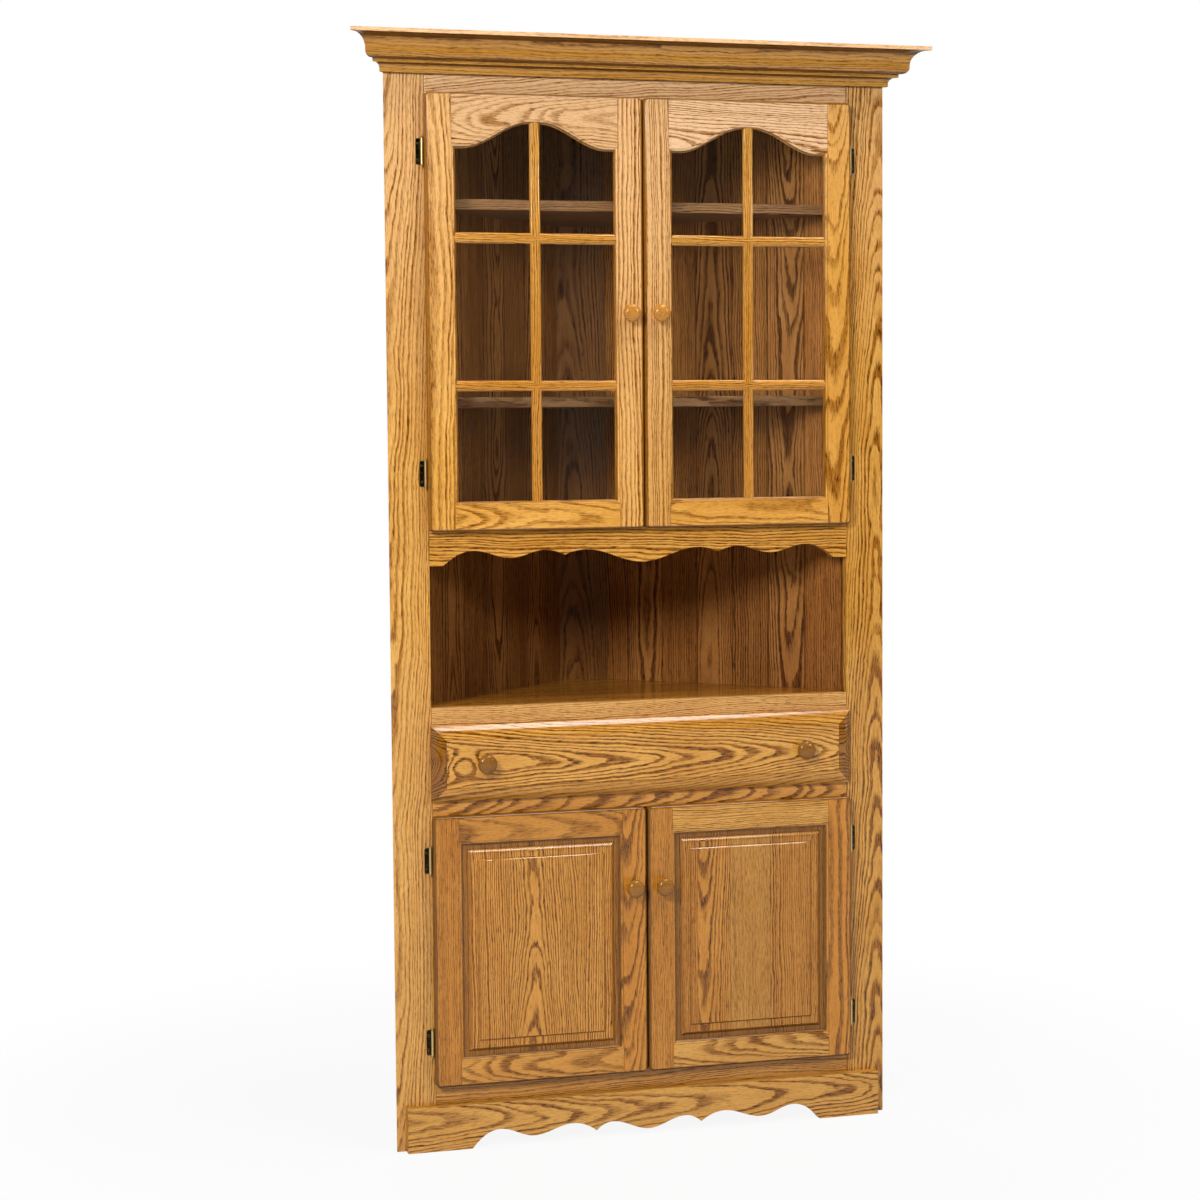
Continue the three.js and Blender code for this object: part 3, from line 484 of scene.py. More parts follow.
def window_glass():
    """Clear thin glass with a faint green body; lamps shine through it to the shelves."""
    g = Graph(bpy.data.materials.new("window_glass"))
    ripple = g.noise(g.node("ShaderNodeTexCoord", {}, "Object"), 5, 1)
    g.surface(
        base_color=(0.94, 0.965, 0.955, 1),
        transmission_weight=1.0,
        roughness=0.0,
        ior=1.14,
        normal=g.bump(ripple, 0.05, 0.001),
    )
    clear = g.node("ShaderNodeBsdfTransparent", {"Color": (0.57, 0.58, 0.57, 1)})
    g.overlay(g.node("ShaderNodeLightPath", {}, "Is Shadow Ray"), clear)
    return g.owner


oak(
    "front_oak", (0.82, 0.435, 0.100), (0.60, 0.262, 0.034), (0.310, 0.106, 0.008), (0.090, 0.024, 0.002),
    (0.94, 0.74, 0.45), (0.80, 0.51, 0.285), 0.7, 0.11, 0.38,
)
oak(
    "knob_oak", (0.56, 0.262, 0.050), (0.41, 0.170, 0.025), (0.220, 0.078, 0.009), (0.080, 0.024, 0.003),
    (0.93, 0.80, 0.55), (0.60, 0.34, 0.13), 0.65, 0.14, 0.42,
)
# The case's oak is much darker than the front's, partly as painted shade for the inside of the cupboard
oak(
    "case_oak", (0.37, 0.165, 0.046), (0.23, 0.090, 0.021), (0.105, 0.035, 0.008), (0.034, 0.011, 0.003),
    (0.92, 0.76, 0.55), (0.30, 0.165, 0.080), 0.15, 0.20, 0.40,
)
oak(
    "box_oak", (0.72, 0.50, 0.28), (0.60, 0.39, 0.20), (0.46, 0.27, 0.13), (0.28, 0.15, 0.07),
    (0.95, 0.88, 0.75), (0.75, 0.56, 0.36), 0.2, 0.20, 0.50,
)
BRASS = antique_brass()
GLASS = window_glass()


def lying(name, low, high, cut, eye=None):
    """A board of the front that lies across the cupboard."""
    middle = Vector((0, low.y, (low.z + high.z) / 2))
    return Board(name, RIGHT, -BACK, middle, high.z - low.z, cut, eye)


# Face frame

def stile(name, side, *cut):
    low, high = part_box(name)
    inner, outer = (high.x, low.x) if side < 0 else (low.x, high.x)
    thickness = high.y - low.y
    outline = [(inner, low.y), (outer, low.y), (outer - side * thickness, high.y), (inner, high.y)]
    bm = slice_along(soften(level_prism(outline, low.z, high.z), SOFT_EDGE), UP, (PAINTED_LIGHT_FOOT,))
    board = Board(name, UP, -BACK, Vector(((inner + outer) / 2, low.y, 1)), abs(outer - inner), cut)
    wooden(name, bm, one(board))


def rail(name, *cut):
    low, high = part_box(name)
    board = lying(name, low, high, cut)
    wooden(name, soften(brick(low, high), SOFT_EDGE), one(board))


# Wavy edges, from the middle outwards: share of the half length, share of the scallop's depth, and
# whether the edge comes to a point there
SKIRT_WAVE_SHARES = (
    (0, 0.31, False),
    (0.155, 0.88, False),
    (0.223, 0.45, True),
    (0.322, 0.97, False),
    (0.482, 0.46, False),
    (0.624, 1, False),
    (0.739, 0, True),
)
VALANCE_WAVE_SHARES = (
    (0, 0, False),
    (0.268, 0.94, False),
    (0.368, 0.6, True),
    (0.466, 0.96, False),
    (0.623, 0.45, False),
    (0.797, 1, False),
    (0.937, 0, True),
)
SKIRT_SCALLOP = 0.032
VALANCE_SCALLOP = 0.026
WAVE_STEPS = 12


def wave(shares, half, scallop, foot):
    points = []
    for (from_along, from_rise, from_cusp), (to_along, to_rise, to_cusp) in zip(shares, shares[1:]):
        for step in range(WAVE_STEPS):
            t = step / WAVE_STEPS
            share = (1 - math.cos(math.pi * t)) / 2
            if to_cusp:
                share = t * t
            if from_cusp:
                share = 1 - (1 - t) ** 2
            along = from_along + (to_along - from_along) * t
            points.append((along * half, foot + (from_rise + (to_rise - from_rise) * share) * scallop))
    points.append((shares[-1][0] * half, foot + shares[-1][1] * scallop))
    return points


def wavy_board(name, shares, scallop, edge, *cut):
    low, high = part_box(name)
    half = high.x
    right = wave(shares, half, scallop, low.z)
    left = [(-x, z) for x, z in reversed(right[1:])]
    outline = [(-half, low.z), *left, *right, (half, low.z), (half, high.z), (-half, high.z)]
    bm = soften(front_prism(outline, low.y, high.y), edge)
    wooden(name, bm, one(lying(name, low, high, cut)))


def arc(radius, steps):
    """A quarter arc as (along, away) pairs: how far it has run, and how far it has turned away."""
    turns = [i / steps * math.pi / 2 for i in range(steps + 1)]
    return [(radius * math.sin(a), radius * (1 - math.cos(a))) for a in turns]


def quarter(centre_x, centre_z, radius, start, steps):
    """Points of a quarter circle, anticlockwise from an angle in degrees."""
    turns = [math.radians(start + 90 * i / steps) for i in range(steps + 1)]
    return [(centre_x + radius * math.cos(a), centre_z + radius * math.sin(a)) for a in turns]


# Section of the crown moulding, in the order of its height
CROWN_LIP_LEDGE = 0.0077
CROWN_LIP_HEIGHT = 0.006
CROWN_SMALL_COVE = 0.0095
CROWN_STEP_LEDGE = 0.0053
CROWN_STEP_HEIGHT = 0.006
CROWN_BEAD = 0.011
CROWN_COVE = 0.024
CROWN_COVE_FOOT = 0.004
CROWN_FILLET_LEDGE = 0.007
CROWN_FILLET_HEIGHT = 0.0075
CROWN_STEPS = 12
CROWN_SOFT_EDGE = 0.0013
CROWN_UNDERSIDE_PAINTED_SHADE = 1.5
CROWN_PAINTED_LIGHT = 0.9
CROWN_RECESS_LEAN = -0.8
CROWN_LIT_LEANS = (0.15, 0.95)
CROWN_CUT = (1.6, 0.06, 0.008, 0.0040, -0.5, 0.6, 0.8)


def crown_moulding():
    low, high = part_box("crown_moulding")
    foot_out = FACE - high.y
    top_out = FACE - low.y
    height = high.z - low.z
    step_out = CROWN_LIP_LEDGE + CROWN_SMALL_COVE + CROWN_STEP_LEDGE
    bead_foot = CROWN_LIP_HEIGHT + CROWN_SMALL_COVE + CROWN_STEP_HEIGHT
    cove_foot = bead_foot + CROWN_BEAD + CROWN_COVE_FOOT
    cove_out = top_out - CROWN_FILLET_LEDGE - CROWN_COVE
    small_cove = arc(CROWN_SMALL_COVE, CROWN_STEPS)
    section = [(foot_out, 0), (CROWN_LIP_LEDGE, 0)]
    section += [(CROWN_LIP_LEDGE + away, CROWN_LIP_HEIGHT + run) for run, away in small_cove]
    section += [(step_out, bead_foot - CROWN_STEP_HEIGHT), (step_out, bead_foot)]
    section += [(cove_out - CROWN_BEAD + run, bead_foot + away) for run, away in arc(CROWN_BEAD, CROWN_STEPS)]
    section += [(cove_out + away, cove_foot + run) for run, away in arc(CROWN_COVE, CROWN_STEPS)]
    section += [(top_out, height - CROWN_FILLET_HEIGHT), (top_out, height), (foot_out, height)]
    half_face = high.x - top_out

    def end(side):
        return [Vector((side * (half_face + out), FACE - out, low.z + up)) for out, up in section]

    bm = soften(closed([end(-1), end(1)]), CROWN_SOFT_EDGE, 2)
    board = Board("crown", RIGHT, -BACK, Vector((0, low.y, low.z)), height, CROWN_CUT)
    # Faces turned downwards are painted darker: painted shade under the crown's ledges
    shaded_below = board.edge(CROWN_UNDERSIDE_PAINTED_SHADE)
    # Faces turned upwards and the top fillet are painted lighter: a painted highlight where light falls on
    # the crown from above
    wear_and_painted_light = board.edge(-CROWN_PAINTED_LIGHT)

    def choose(middle, normal):
        if normal.z < CROWN_RECESS_LEAN:
            return shaded_below
        facing_up = CROWN_LIT_LEANS[0] < normal.z < CROWN_LIT_LEANS[1]
        return wear_and_painted_light if facing_up or middle.z > high.z - CROWN_FILLET_HEIGHT else board

    wooden("crown_moulding", bm, choose)


# Walls of tongued boards, whose faces are the planes where |x| + y stays the same
BOARD_PITCH = 0.076
FIRST_BOARD = 0.046
NARROWEST_SHARE = 0.25
V_GROOVE = 0.0018
BACK_GROOVE = 0.0009
WALL_TONES = (0, 0.3, -0.25, 0.15, -0.4)
# Heart, depth, taper, ring, warmth and figure of the walls' boards, in turn
WALL_CUTS = (
    (0.05, 0.034, 0.030, 0.0044, 0.3, 1.55),
    (0.9, 0.05, 0.008, 0.0034, 0.5, 1.4),
    (-0.1, 0.038, -0.026, 0.0042, 0.2, 1.55),
    (1.6, 0.06, 0.004, 0.0030, 0.6, 1.3),
)
GROOVE_STAIN = 1.3
WALL_FACE_LEAN = 0.9
PIN_HOLE_HEIGHTS = (1.601, 1.569, 1.435, 1.403)
PIN_HOLE_RADIUS = 0.003
PIN_HOLE_DEPTH = 0.008
BACK_CUT = (0.2, 0.07, 0.03, None, -0.7)


def wall(name, side, tone):
    """One wall in a single solid: V grooves inside and fine lines outside part it into boards."""
    low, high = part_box(name)
    back_inner, back_outer = (corner.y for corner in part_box("back_panel"))
    thickness = back_outer - back_inner
    outwards = Vector((side, 1, 0)).normalized()
    run = Vector((side, -1, 0)).normalized()
    outer_x = high.x if side > 0 else -low.x
    inner_sum = outer_x + low.y - thickness * math.sqrt(2)
    corner = Vector((side * (inner_sum - back_inner), back_inner, 0))
    rear = (back_inner - high.y) * math.sqrt(2)
    front = (back_inner - low.y) * math.sqrt(2)
    joints = []
    place = FIRST_BOARD
    while place < front - BOARD_PITCH * NARROWEST_SHARE:
        joints.append(place)
        place += BOARD_PITCH
    profile = [(rear, 0)]
    for joint in joints:
        profile += [(joint - V_GROOVE, 0), (joint, V_GROOVE), (joint + V_GROOVE, 0)]
    profile += [(front, 0), (front + thickness, thickness)]
    line = thickness - BACK_GROOVE
    for joint in reversed(joints):
        profile += [(joint + BACK_GROOVE, thickness), (joint, line), (joint - BACK_GROOVE, thickness)]
    profile.append((rear + thickness, thickness))
    outline = [corner + run * a + outwards * b for a, b in profile]
    bm = level_prism([(point.x, point.y) for point in outline], low.z, high.z)
    slice_along(bm, run, [corner.dot(run) + joint for joint in joints])
    boards = []
    for number, (start, end) in enumerate(zip([rear, *joints], [*joints, front])):
        middle = corner + run * ((start + end) / 2) + UP
        heart, depth, taper, ring, warmth, figure = WALL_CUTS[(number + side) % len(WALL_CUTS)]
        cut = (heart, depth, taper, ring, tone + WALL_TONES[number % len(WALL_TONES)], warmth, figure)
        boards.append(Board(f"{name} {number}", UP, -outwards, middle, BOARD_PITCH, cut))
    grooved = [board.edge(GROOVE_STAIN) for board in boards]

    def choose(middle, normal):
        along = (middle - corner).dot(run)
        number = sum(along > joint for joint in joints)
        return boards[number] if abs(normal.dot(outwards)) > WALL_FACE_LEAN else grooved[number]

    wooden(name, bm, choose, "cabinet", "case_oak", "oak_inside")


def back_panel():
    low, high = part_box("back_panel")
    bm = level_prism(narrowing(low, high), low.z, high.z)
    for height in PIN_HOLE_HEIGHTS:
        drill = turned(((1, 0), (1, 1)), PIN_HOLE_RADIUS, 0, PIN_HOLE_DEPTH * 2, 0, 0)
        start = Matrix.Translation((0, low.y + PIN_HOLE_DEPTH, height))
        drill.transform(start @ Matrix.Rotation(math.pi / 2, 4, "X"))
        bm = combine([bm, drill], "DIFFERENCE")
    board = Board("back_panel", UP, -BACK, Vector((0, low.y, 1)), high.x * 2, BACK_CUT)
    wooden("back_panel", bm, one(board), "cabinet", "case_oak", "oak_inside")


# Level boards, glued up from strips that run across the cupboard
STRIP_WIDTHS = (0.105, 0.092, 0.118, 0.097)


def level_board(name, edge, wood, tone=0.0, warmth=0.0):
    low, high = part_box(name)
    bm = soften(level_prism(narrowing(low, high), low.z, high.z), edge)
    joints = list(accumulate(STRIP_WIDTHS[:-1], initial=low.y))[1:]
    slice_along(bm, BACK, joints)
    strips = []
    for number, width in enumerate(STRIP_WIDTHS):
        place = low.y + (high.y - low.y) * (number + 0.5) / len(STRIP_WIDTHS)
        cut = (None, None, None, None, tone, warmth)
        strips.append(Board(f"{name} {number}", RIGHT, UP, Vector((0, place, high.z)), width, cut))

    def choose(middle, normal):
        return strips[sum(middle.y > joint for joint in joints)]

    wooden(name, bm, choose, "cabinet", wood, "oak_inside")


# Doors

def rectangle(xs, zs, inset, y):
    (x0, x1), (z0, z1) = xs, zs
    return [
        Vector((x0 + inset, y, z0 + inset)),
        Vector((x1 - inset, y, z0 + inset)),
        Vector((x1 - inset, y, z1 - inset)),
        Vector((x0 + inset, y, z1 - inset)),
    ]


def round_cornered(xs, zs, inset, y):
    """The rectangle with small arcs at its corners, which stay round however far it is inset."""
    radius = max(DOOR_CORNER - inset, DOOR_CORNER_LEAST)
    left, right = xs[0] + inset + radius, xs[1] - inset - radius
    foot, head = zs[0] + inset + radius, zs[1] - inset - radius
    points = []
    for x, z, start in ((left, foot, 180), (right, foot, 270), (right, head, 0), (left, head, 90)):
        points += [Vector((a, y, b)) for a, b in quarter(x, z, radius, start, DOOR_CORNER_STEPS)]
    return points


def arched(xs, zs, offset, y):
    """Outline of a glazed opening, offset outwards; zs ends at the level shoulders of its arched head."""
    (x0, x1), (z0, shoulder) = xs, zs
    middle = (x0 + x1) / 2
    run = (x1 - x0) / 2 - ARCH_SHOULDER - ARCH_CROWN
    points = [(x0 - offset, z0 - offset), (x1 + offset, z0 - offset), (x1 + offset, shoulder + offset)]
    for side in (1, -1):
        for step in range(ARCH_STEPS + 1):
            t = step / ARCH_STEPS if side > 0 else 1 - step / ARCH_STEPS
            slope = ARCH_RISE * math.pi * math.sin(math.pi * t) / (2 * run)
            length = math.hypot(slope, 1)
            away = ARCH_CROWN + run * (1 - t)
            rise = ARCH_RISE * (1 - math.cos(math.pi * t)) / 2
            across = away + offset * slope / length
            points.append((middle + side * across, shoulder + rise + offset / length))
    points.append((x0 - offset, shoulder + offset))
    return [Vector((x, y, z)) for x, z in points]


def ovolo(start, end):
    """A round-over between two (offset, depth) pairs, level with the face where it starts."""
    across, down = end[0] - start[0], end[1] - start[1]
    return [(end[0] - across * (1 - run), start[1] + down * away) for run, away in arc(1, ROUND_STEPS)]


def sticking():
    """Section of the moulded edge, as offsets from the sight line and depths behind the face."""
    quirk = STICKING_WIDTH - STICKING_FILLET
    return [
        (STICKING_WIDTH, 0),
        (STICKING_WIDTH - STICKING_SLOPE, STICKING_STEP),
        *ovolo((quirk, STICKING_STEP), (STICKING_SLOPE * 2, STICKING_DEPTH - STICKING_STEP)),
        (0, STICKING_DEPTH - STICKING_STEP),
    ]


def door_frame(body, cuts, sight, outline_at, inner_rings, back_hole=()):
    """A glued frame: outer slab with rounded edges, moulded window, and grooves at the joints."""
    name = f"{body}_frame"
    boards = frame_boards(name, cuts)
    low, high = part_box(name)
    xs, zs = (low.x, high.x), (low.z, high.z)
    skin = Skin()
    outer = [round_cornered(xs, zs, SOFT_EDGE, DOOR_BACK), round_cornered(xs, zs, 0, DOOR_BACK - SOFT_EDGE)]
    face = DOOR_FRONT + DOOR_ROUND
    outer += [round_cornered(xs, zs, away, face - run) for run, away in arc(DOOR_ROUND, ROUND_STEPS)]
    outer_made = skin.sleeve(outer)
    inner_made = skin.sleeve([outline_at(o, DOOR_FRONT + away) for o, away in sticking()] + inner_rings)
    skin.cap(outer_made[-1], inner_made[0])
    back_made = inner_made[-1]
    if back_hole:
        hole_made = skin.sleeve(back_hole)
        skin.cap(hole_made[0], back_made)
        back_made = hole_made[-1]
    skin.cap(outer_made[0], back_made)
    bm = skin.done()
    joints = (low.x + FLAT_WIDTH, high.x - FLAT_WIDTH)
    for joint in joints:
        slice_along(bm, RIGHT, (joint - JOINT_HALF_WIDTH, joint, joint + JOINT_HALF_WIDTH))
    for vertex in bm.verts:
        flat = vertex.co.y < DOOR_FRONT + TINY
        if flat and any(abs(vertex.co.x - joint) < TINY for joint in joints):
            vertex.co.y += JOINT_DEPTH

    # Faces turned away from the front are darker: more stain on the edges, and painted shade in the gaps and
    # along the moulding
    stain_and_shade = {key: board.edge(EDGE_STAIN_AND_SHADE) for key, board in boards.items()}
    shaded = {key: board.edge(UNDER_EDGE_PAINTED_SHADE) for key, board in boards.items()}

    def choose(middle, normal):
        from_left = middle.x - low.x
        from_right = high.x - middle.x
        nearest = min(from_left, from_right)
        on_reveal = sight[0] < middle.z < sight[1] and abs(normal.x) > abs(normal.z)
        if nearest < (REVEAL_WIDTH if on_reveal else FLAT_WIDTH):
            key = "left" if from_left < from_right else "right"
        else:
            key = "top" if middle.z > (low.z + high.z) / 2 else "bottom"
        # The bottom edge, facing down, is painted darker still: painted shade under the door
        if normal.z < UNDER_EDGE_LEAN and middle.z < low.z + DOOR_ROUND:
            return shaded[key]
        turned_away = DOOR_EDGE_LEANS[0] < normal.y < DOOR_EDGE_LEANS[1]
        return stain_and_shade[key] if turned_away else boards[key]

    wooden(name, bm, choose, body)


def frame_boards(name, cuts):
    """The four boards of a door's frame; cuts follow the order of their places."""
    low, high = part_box(name)
    centre = (low + high) / 2
    places = {
        "left": (UP, Vector((low.x + BORDER / 2, DOOR_FRONT, centre.z))),
        "right": (UP, Vector((high.x - BORDER / 2, DOOR_FRONT, centre.z))),
        "top": (RIGHT, Vector((centre.x, DOOR_FRONT, high.z - BORDER))),
        "bottom": (RIGHT, Vector((centre.x, DOOR_FRONT, low.z + BORDER / 2))),
    }
    return {
        key: Board(f"{name} {key}", along, -BACK, middle, BORDER, cut)
        for (key, (along, middle)), cut in zip(places.items(), cuts)
    }


def glazed_door(hand, cuts):
    name = f"upper_door_{hand}"
    low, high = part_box(f"{name}_frame")
    xs = (low.x + BORDER, high.x - BORDER)
    zs = (low.z + BORDER, high.z - ARCH_SHOULDER_DROP - STICKING_WIDTH)
    rebate_front = DOOR_BACK - REBATE_DEPTH
    rebate_zs = (zs[0], zs[1] + ARCH_RISE)

    def outline_at(offset, y):
        return arched(xs, zs, offset, y)

    rebate = [rectangle(xs, rebate_zs, -REBATE_WIDTH, y) for y in (rebate_front, DOOR_BACK)]
    door_frame(name, cuts, zs, outline_at, [outline_at(0, rebate_front)], rebate)
    glazing_grid(name, xs, zs, outline_at, rebate_front)
    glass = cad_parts[f"{name}_glass"]
    glass.data.materials.clear()
    glass.data.materials.append(GLASS)


# Glazing bars: a narrow flat face, a small step down on each side, and a round-over to each edge
BAR_WIDTH = 0.019
BAR_FACE_WIDTH = 0.006
BAR_EDGE = 0.0022
BAR_HEIGHTS = (0.257, 0.517)
CROSSBAR_LIFT = 0.00015
BAR_CUT = (3, 0.03, 0.006, 0.0035)
UPRIGHT_TONE = -0.12
CROSSBAR_TONE = -0.06
BAR_WARMTH = 0.5
GRID_GAP = 0.0002
GRID_CUTTER_LEAD = 0.004


def bar_section(face, foot):
    """Across and depth, from one foot over the front to the other."""
    half_face = BAR_FACE_WIDTH / 2
    step = face + STICKING_STEP
    start = half_face + STICKING_STEP
    width = BAR_WIDTH / 2 - STICKING_SLOPE - start
    fall = foot - BAR_EDGE - step
    half = [(half_face, face), (half_face + STICKING_SLOPE, step)]
    half += [(start + width * run, step + fall * away) for run, away in arc(1, ROUND_STEPS)]
    half += [(BAR_WIDTH / 2, foot - BAR_EDGE), (BAR_WIDTH / 2, foot)]
    return [*reversed(half), *((-a, y) for a, y in half)]


def glazing_grid(name, xs, zs, outline_at, rebate_front):
    """An upright and two crossbars, cut off where the frame's moulding starts."""
    low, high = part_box(f"{name}_grid")
    door_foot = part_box(f"{name}_frame")[0].z
    section = bar_section(low.y, rebate_front - GRID_GAP)
    middle = (xs[0] + xs[1]) / 2
    ends = (zs[0] - STICKING_WIDTH, zs[1] + ARCH_RISE + STICKING_WIDTH)
    solid = closed([[Vector((middle + a, y, z)) for a, y in section] for z in ends])
    ends = (xs[0] - STICKING_WIDTH, xs[1] + STICKING_WIDTH)
    for height in BAR_HEIGHTS:
        place = door_foot + height
        bar = closed([[Vector((x, y - CROSSBAR_LIFT, place + a)) for a, y in section] for x in ends])
        solid = combine([solid, bar], "UNION")
    window = [outline_at(STICKING_WIDTH - GRID_GAP, DOOR_FRONT - GRID_CUTTER_LEAD)]
    window += [outline_at(offset - GRID_GAP, DOOR_FRONT + away) for offset, away in sticking()]
    window.append(outline_at(-GRID_GAP, rebate_front))
    solid = combine([solid, closed(window)], "INTERSECT")
    upright_board = Board(f"{name} upright bar", UP, -BACK, Vector((middle, low.y, 1)), BAR_WIDTH,
                          (*BAR_CUT, UPRIGHT_TONE, BAR_WARMTH))
    cross_board = Board(f"{name} cross bar", RIGHT, -BACK, Vector((middle, low.y, zs[0])), BAR_WIDTH,
                        (*BAR_CUT, CROSSBAR_TONE, BAR_WARMTH))

    def choose(centre, normal):
        levels = [abs(centre.z - door_foot - height) for height in BAR_HEIGHTS]
        return cross_board if min(levels) < BAR_WIDTH / 2 else upright_board

    wooden(f"{name}_grid", solid, choose, name)


def combine(parts, operation):
    """Joins or cuts two meshes with Blender's exact solver."""
    objects = [add_object("part", mesh_from("part", bm)) for bm in parts]
    modifier = objects[0].modifiers.new("combine", "BOOLEAN")
    modifier.operation = operation
    modifier.solver = "EXACT"
    modifier.object = objects[1]
    depsgraph = bpy.context.evaluated_depsgraph_get()
    result = bmesh.new()
    result.from_mesh(objects[0].evaluated_get(depsgraph).to_mesh())
    for made in objects:
        mesh = made.data
        bpy.data.objects.remove(made)
        bpy.data.meshes.remove(mesh)
    bmesh.ops.recalc_face_normals(result, faces=result.faces)
    return result


# Raised panels
PANEL_GROOVE_SETBACK = 0.007
PANEL_GROOVE_WIDTH = 0.006
PANEL_GROOVE_DEPTH = 0.008
PANEL_FIELD_SETBACK = 0.001
# Section of a raised panel from its border inwards: inset, and depth behind the field
PANEL_SECTION = (
    (0.0085, 0.0066), (0.0089, 0.0060), (0.0094, 0.0055), (0.0132, 0.0020), (0.0138, 0.0016),
    (0.0146, 0.0013), (0.0155, 0.0013), (0.0157, 0.0022), (0.0163, 0.0023), (0.0168, 0.0022),
    (0.0173, 0.0022), (0.0262, 0.0019), (0.0266, 0.0026), (0.0272, 0.0026), (0.0292, 0.0004), (0.0300, 0),
)
PANEL_RECESS_STAIN_AND_SHADE = 1.15
PANEL_UNDERSIDE_PAINTED_SHADE = 1.3
PANEL_SIDE_STAIN = 0.6
PANEL_RECESS_DEPTH = 0.0045
PANEL_REAR_LEAN = 0.5
PANEL_LINE_LEAN = -0.2
PANEL_SIDE_LEAN = 0.3
PANEL_STRIP_SHARES = {"left": (0.30, 0.42, 0.28), "right": (0.16, 0.21, 0.25, 0.2, 0.18)}


def panelled_door(hand, cuts, panel_cuts):
    name = f"lower_door_{hand}"
    low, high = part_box(f"{name}_frame")
    xs = (low.x + BORDER, high.x - BORDER)
    zs = (low.z + BORDER, high.z - BORDER)
    groove_front = DOOR_FRONT + PANEL_GROOVE_SETBACK
    groove_back = groove_front + PANEL_GROOVE_WIDTH

    def outline_at(offset, y):
        return rectangle(xs, zs, -offset, y)

    inner = [
        outline_at(0, groove_front),
        outline_at(PANEL_GROOVE_DEPTH, groove_front),
        outline_at(PANEL_GROOVE_DEPTH, groove_back),
        outline_at(0, groove_back),
        outline_at(0, DOOR_BACK),
    ]
    door_frame(name, cuts, zs, outline_at, inner)
    raised_panel(name, xs, zs, hand, panel_cuts)


def raised_panel(name, xs, zs, hand, cuts):
    low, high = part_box(f"{name}_panel")
    field = DOOR_FRONT + PANEL_FIELD_SETBACK
    tongue = DOOR_FRONT + PANEL_GROOVE_SETBACK + FIT
    profile = [(low.x - xs[0], high.y), (low.x - xs[0], tongue), (PANEL_SECTION[0][0] - FIT, tongue)]
    profile += [(inset, field + depth) for inset, depth in PANEL_SECTION]
    bm = closed([rectangle(xs, zs, inset, y) for inset, y in profile])
    widths = [(high.x - low.x) * share for share in PANEL_STRIP_SHARES[hand]]
    starts = list(accumulate(widths[:-1], initial=low.x))
    joints = starts[1:]
    slice_along(bm, RIGHT, joints)
    strips = []
    for number, (start, width, cut) in enumerate(zip(starts, widths, cuts)):
        middle = Vector((start + width / 2, field, (zs[0] + zs[1]) / 2))
        strips.append(Board(f"{name} strip {number}", UP, -BACK, middle, width, cut))
    stain_and_shade = [strip.edge(PANEL_RECESS_STAIN_AND_SHADE) for strip in strips]
    shaded_facets = [strip.edge(PANEL_UNDERSIDE_PAINTED_SHADE) for strip in strips]
    beside = [strip.edge(PANEL_SIDE_STAIN) for strip in strips]

    def choose(middle, normal):
        number = sum(middle.x > joint for joint in joints)
        if normal.y > PANEL_REAR_LEAN:
            return strips[number]
        # The ledge and the foot of the rise, next to the frame, take more stain and get painted shade as well
        if middle.y > field + PANEL_RECESS_DEPTH:
            return stain_and_shade[number]
        # Facets facing down are painted darker: painted shade
        if normal.z < PANEL_LINE_LEAN:
            return shaded_facets[number]
        return beside[number] if abs(normal.x) > PANEL_SIDE_LEAN else strips[number]

    wooden(f"{name}_panel", bm, choose, name)


# Drawer
DRAWER_BEVEL = 0.025
DRAWER_STEP = 0.0014
DRAWER_EDGE = 0.007
DRAWER_QUIRK = 0.0005
DRAWER_BEVEL_SHARES = (
    (0, 0), (0.10, 0.205), (0.20, 0.405), (0.30, 0.59), (0.40, 0.745), (0.50, 0.85), (0.62, 0.92),
    (0.80, 0.97), (0.96, 1),
)
END_GRAIN_STAIN = 1.5
END_GRAIN_FIGURE = 1.15
BEVEL_LEAN = 0.03
TOPSIDE_LEAN = 0.3
DRAWER_CUT = (-0.02, 0.030, 0.085, 0.0048, 0.12, 0.0, 1.55)
DRAWER_EYE = -0.345
BOX_BOARD_WIDTH = 0.09
BOX_BOARD_DEPTH = 0.08


def drawer_front():
    low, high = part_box("drawer_front")
    xs, zs = (low.x, high.x), (low.z, high.z)
    edge = high.y - DRAWER_EDGE
    foot = low.y + DRAWER_STEP
    profile = [(SOFT_EDGE, high.y), (0, high.y - SOFT_EDGE)]
    profile += [(a * DRAWER_BEVEL, edge + (foot - edge) * rise) for a, rise in DRAWER_BEVEL_SHARES]
    profile += [
        (DRAWER_BEVEL - DRAWER_QUIRK, foot + DRAWER_QUIRK),
        (DRAWER_BEVEL, foot),
        (DRAWER_BEVEL + DRAWER_QUIRK * 0.2, low.y),
    ]
    bm = closed([rectangle(xs, zs, inset, y) for inset, y in profile])
    board = lying("drawer_front", low, high, DRAWER_CUT, DRAWER_EYE)
    end_grain = board.edge(END_GRAIN_STAIN, END_GRAIN_FIGURE)
    # The top and bottom bevels are darkened by shares of the end grain's stain as painted shade: below, where
    # the bevel faces down, and on top, to weaken the overhead lamp's highlight there
    painted_shade_below = board.edge(END_GRAIN_STAIN / 4)
    painted_shade_on_top = board.edge(END_GRAIN_STAIN / 3)

    def choose(middle, normal):
        if abs(normal.x) > BEVEL_LEAN:
            return end_grain
        if normal.z > TOPSIDE_LEAN:
            return painted_shade_on_top
        return painted_shade_below if normal.z < -BEVEL_LEAN else board

    wooden("drawer_front", bm, choose, "drawer")


def box_board(name, along, face):
    low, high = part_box(name)
    board = Board(name, along, face, (low + high) / 2, BOX_BOARD_WIDTH, (None, BOX_BOARD_DEPTH))
    body = "cabinet" if "guide" in name else "drawer"
    wooden(name, soften(brick(low, high), SOFT_EDGE), one(board), body, "box_oak", "oak_drawer_box")


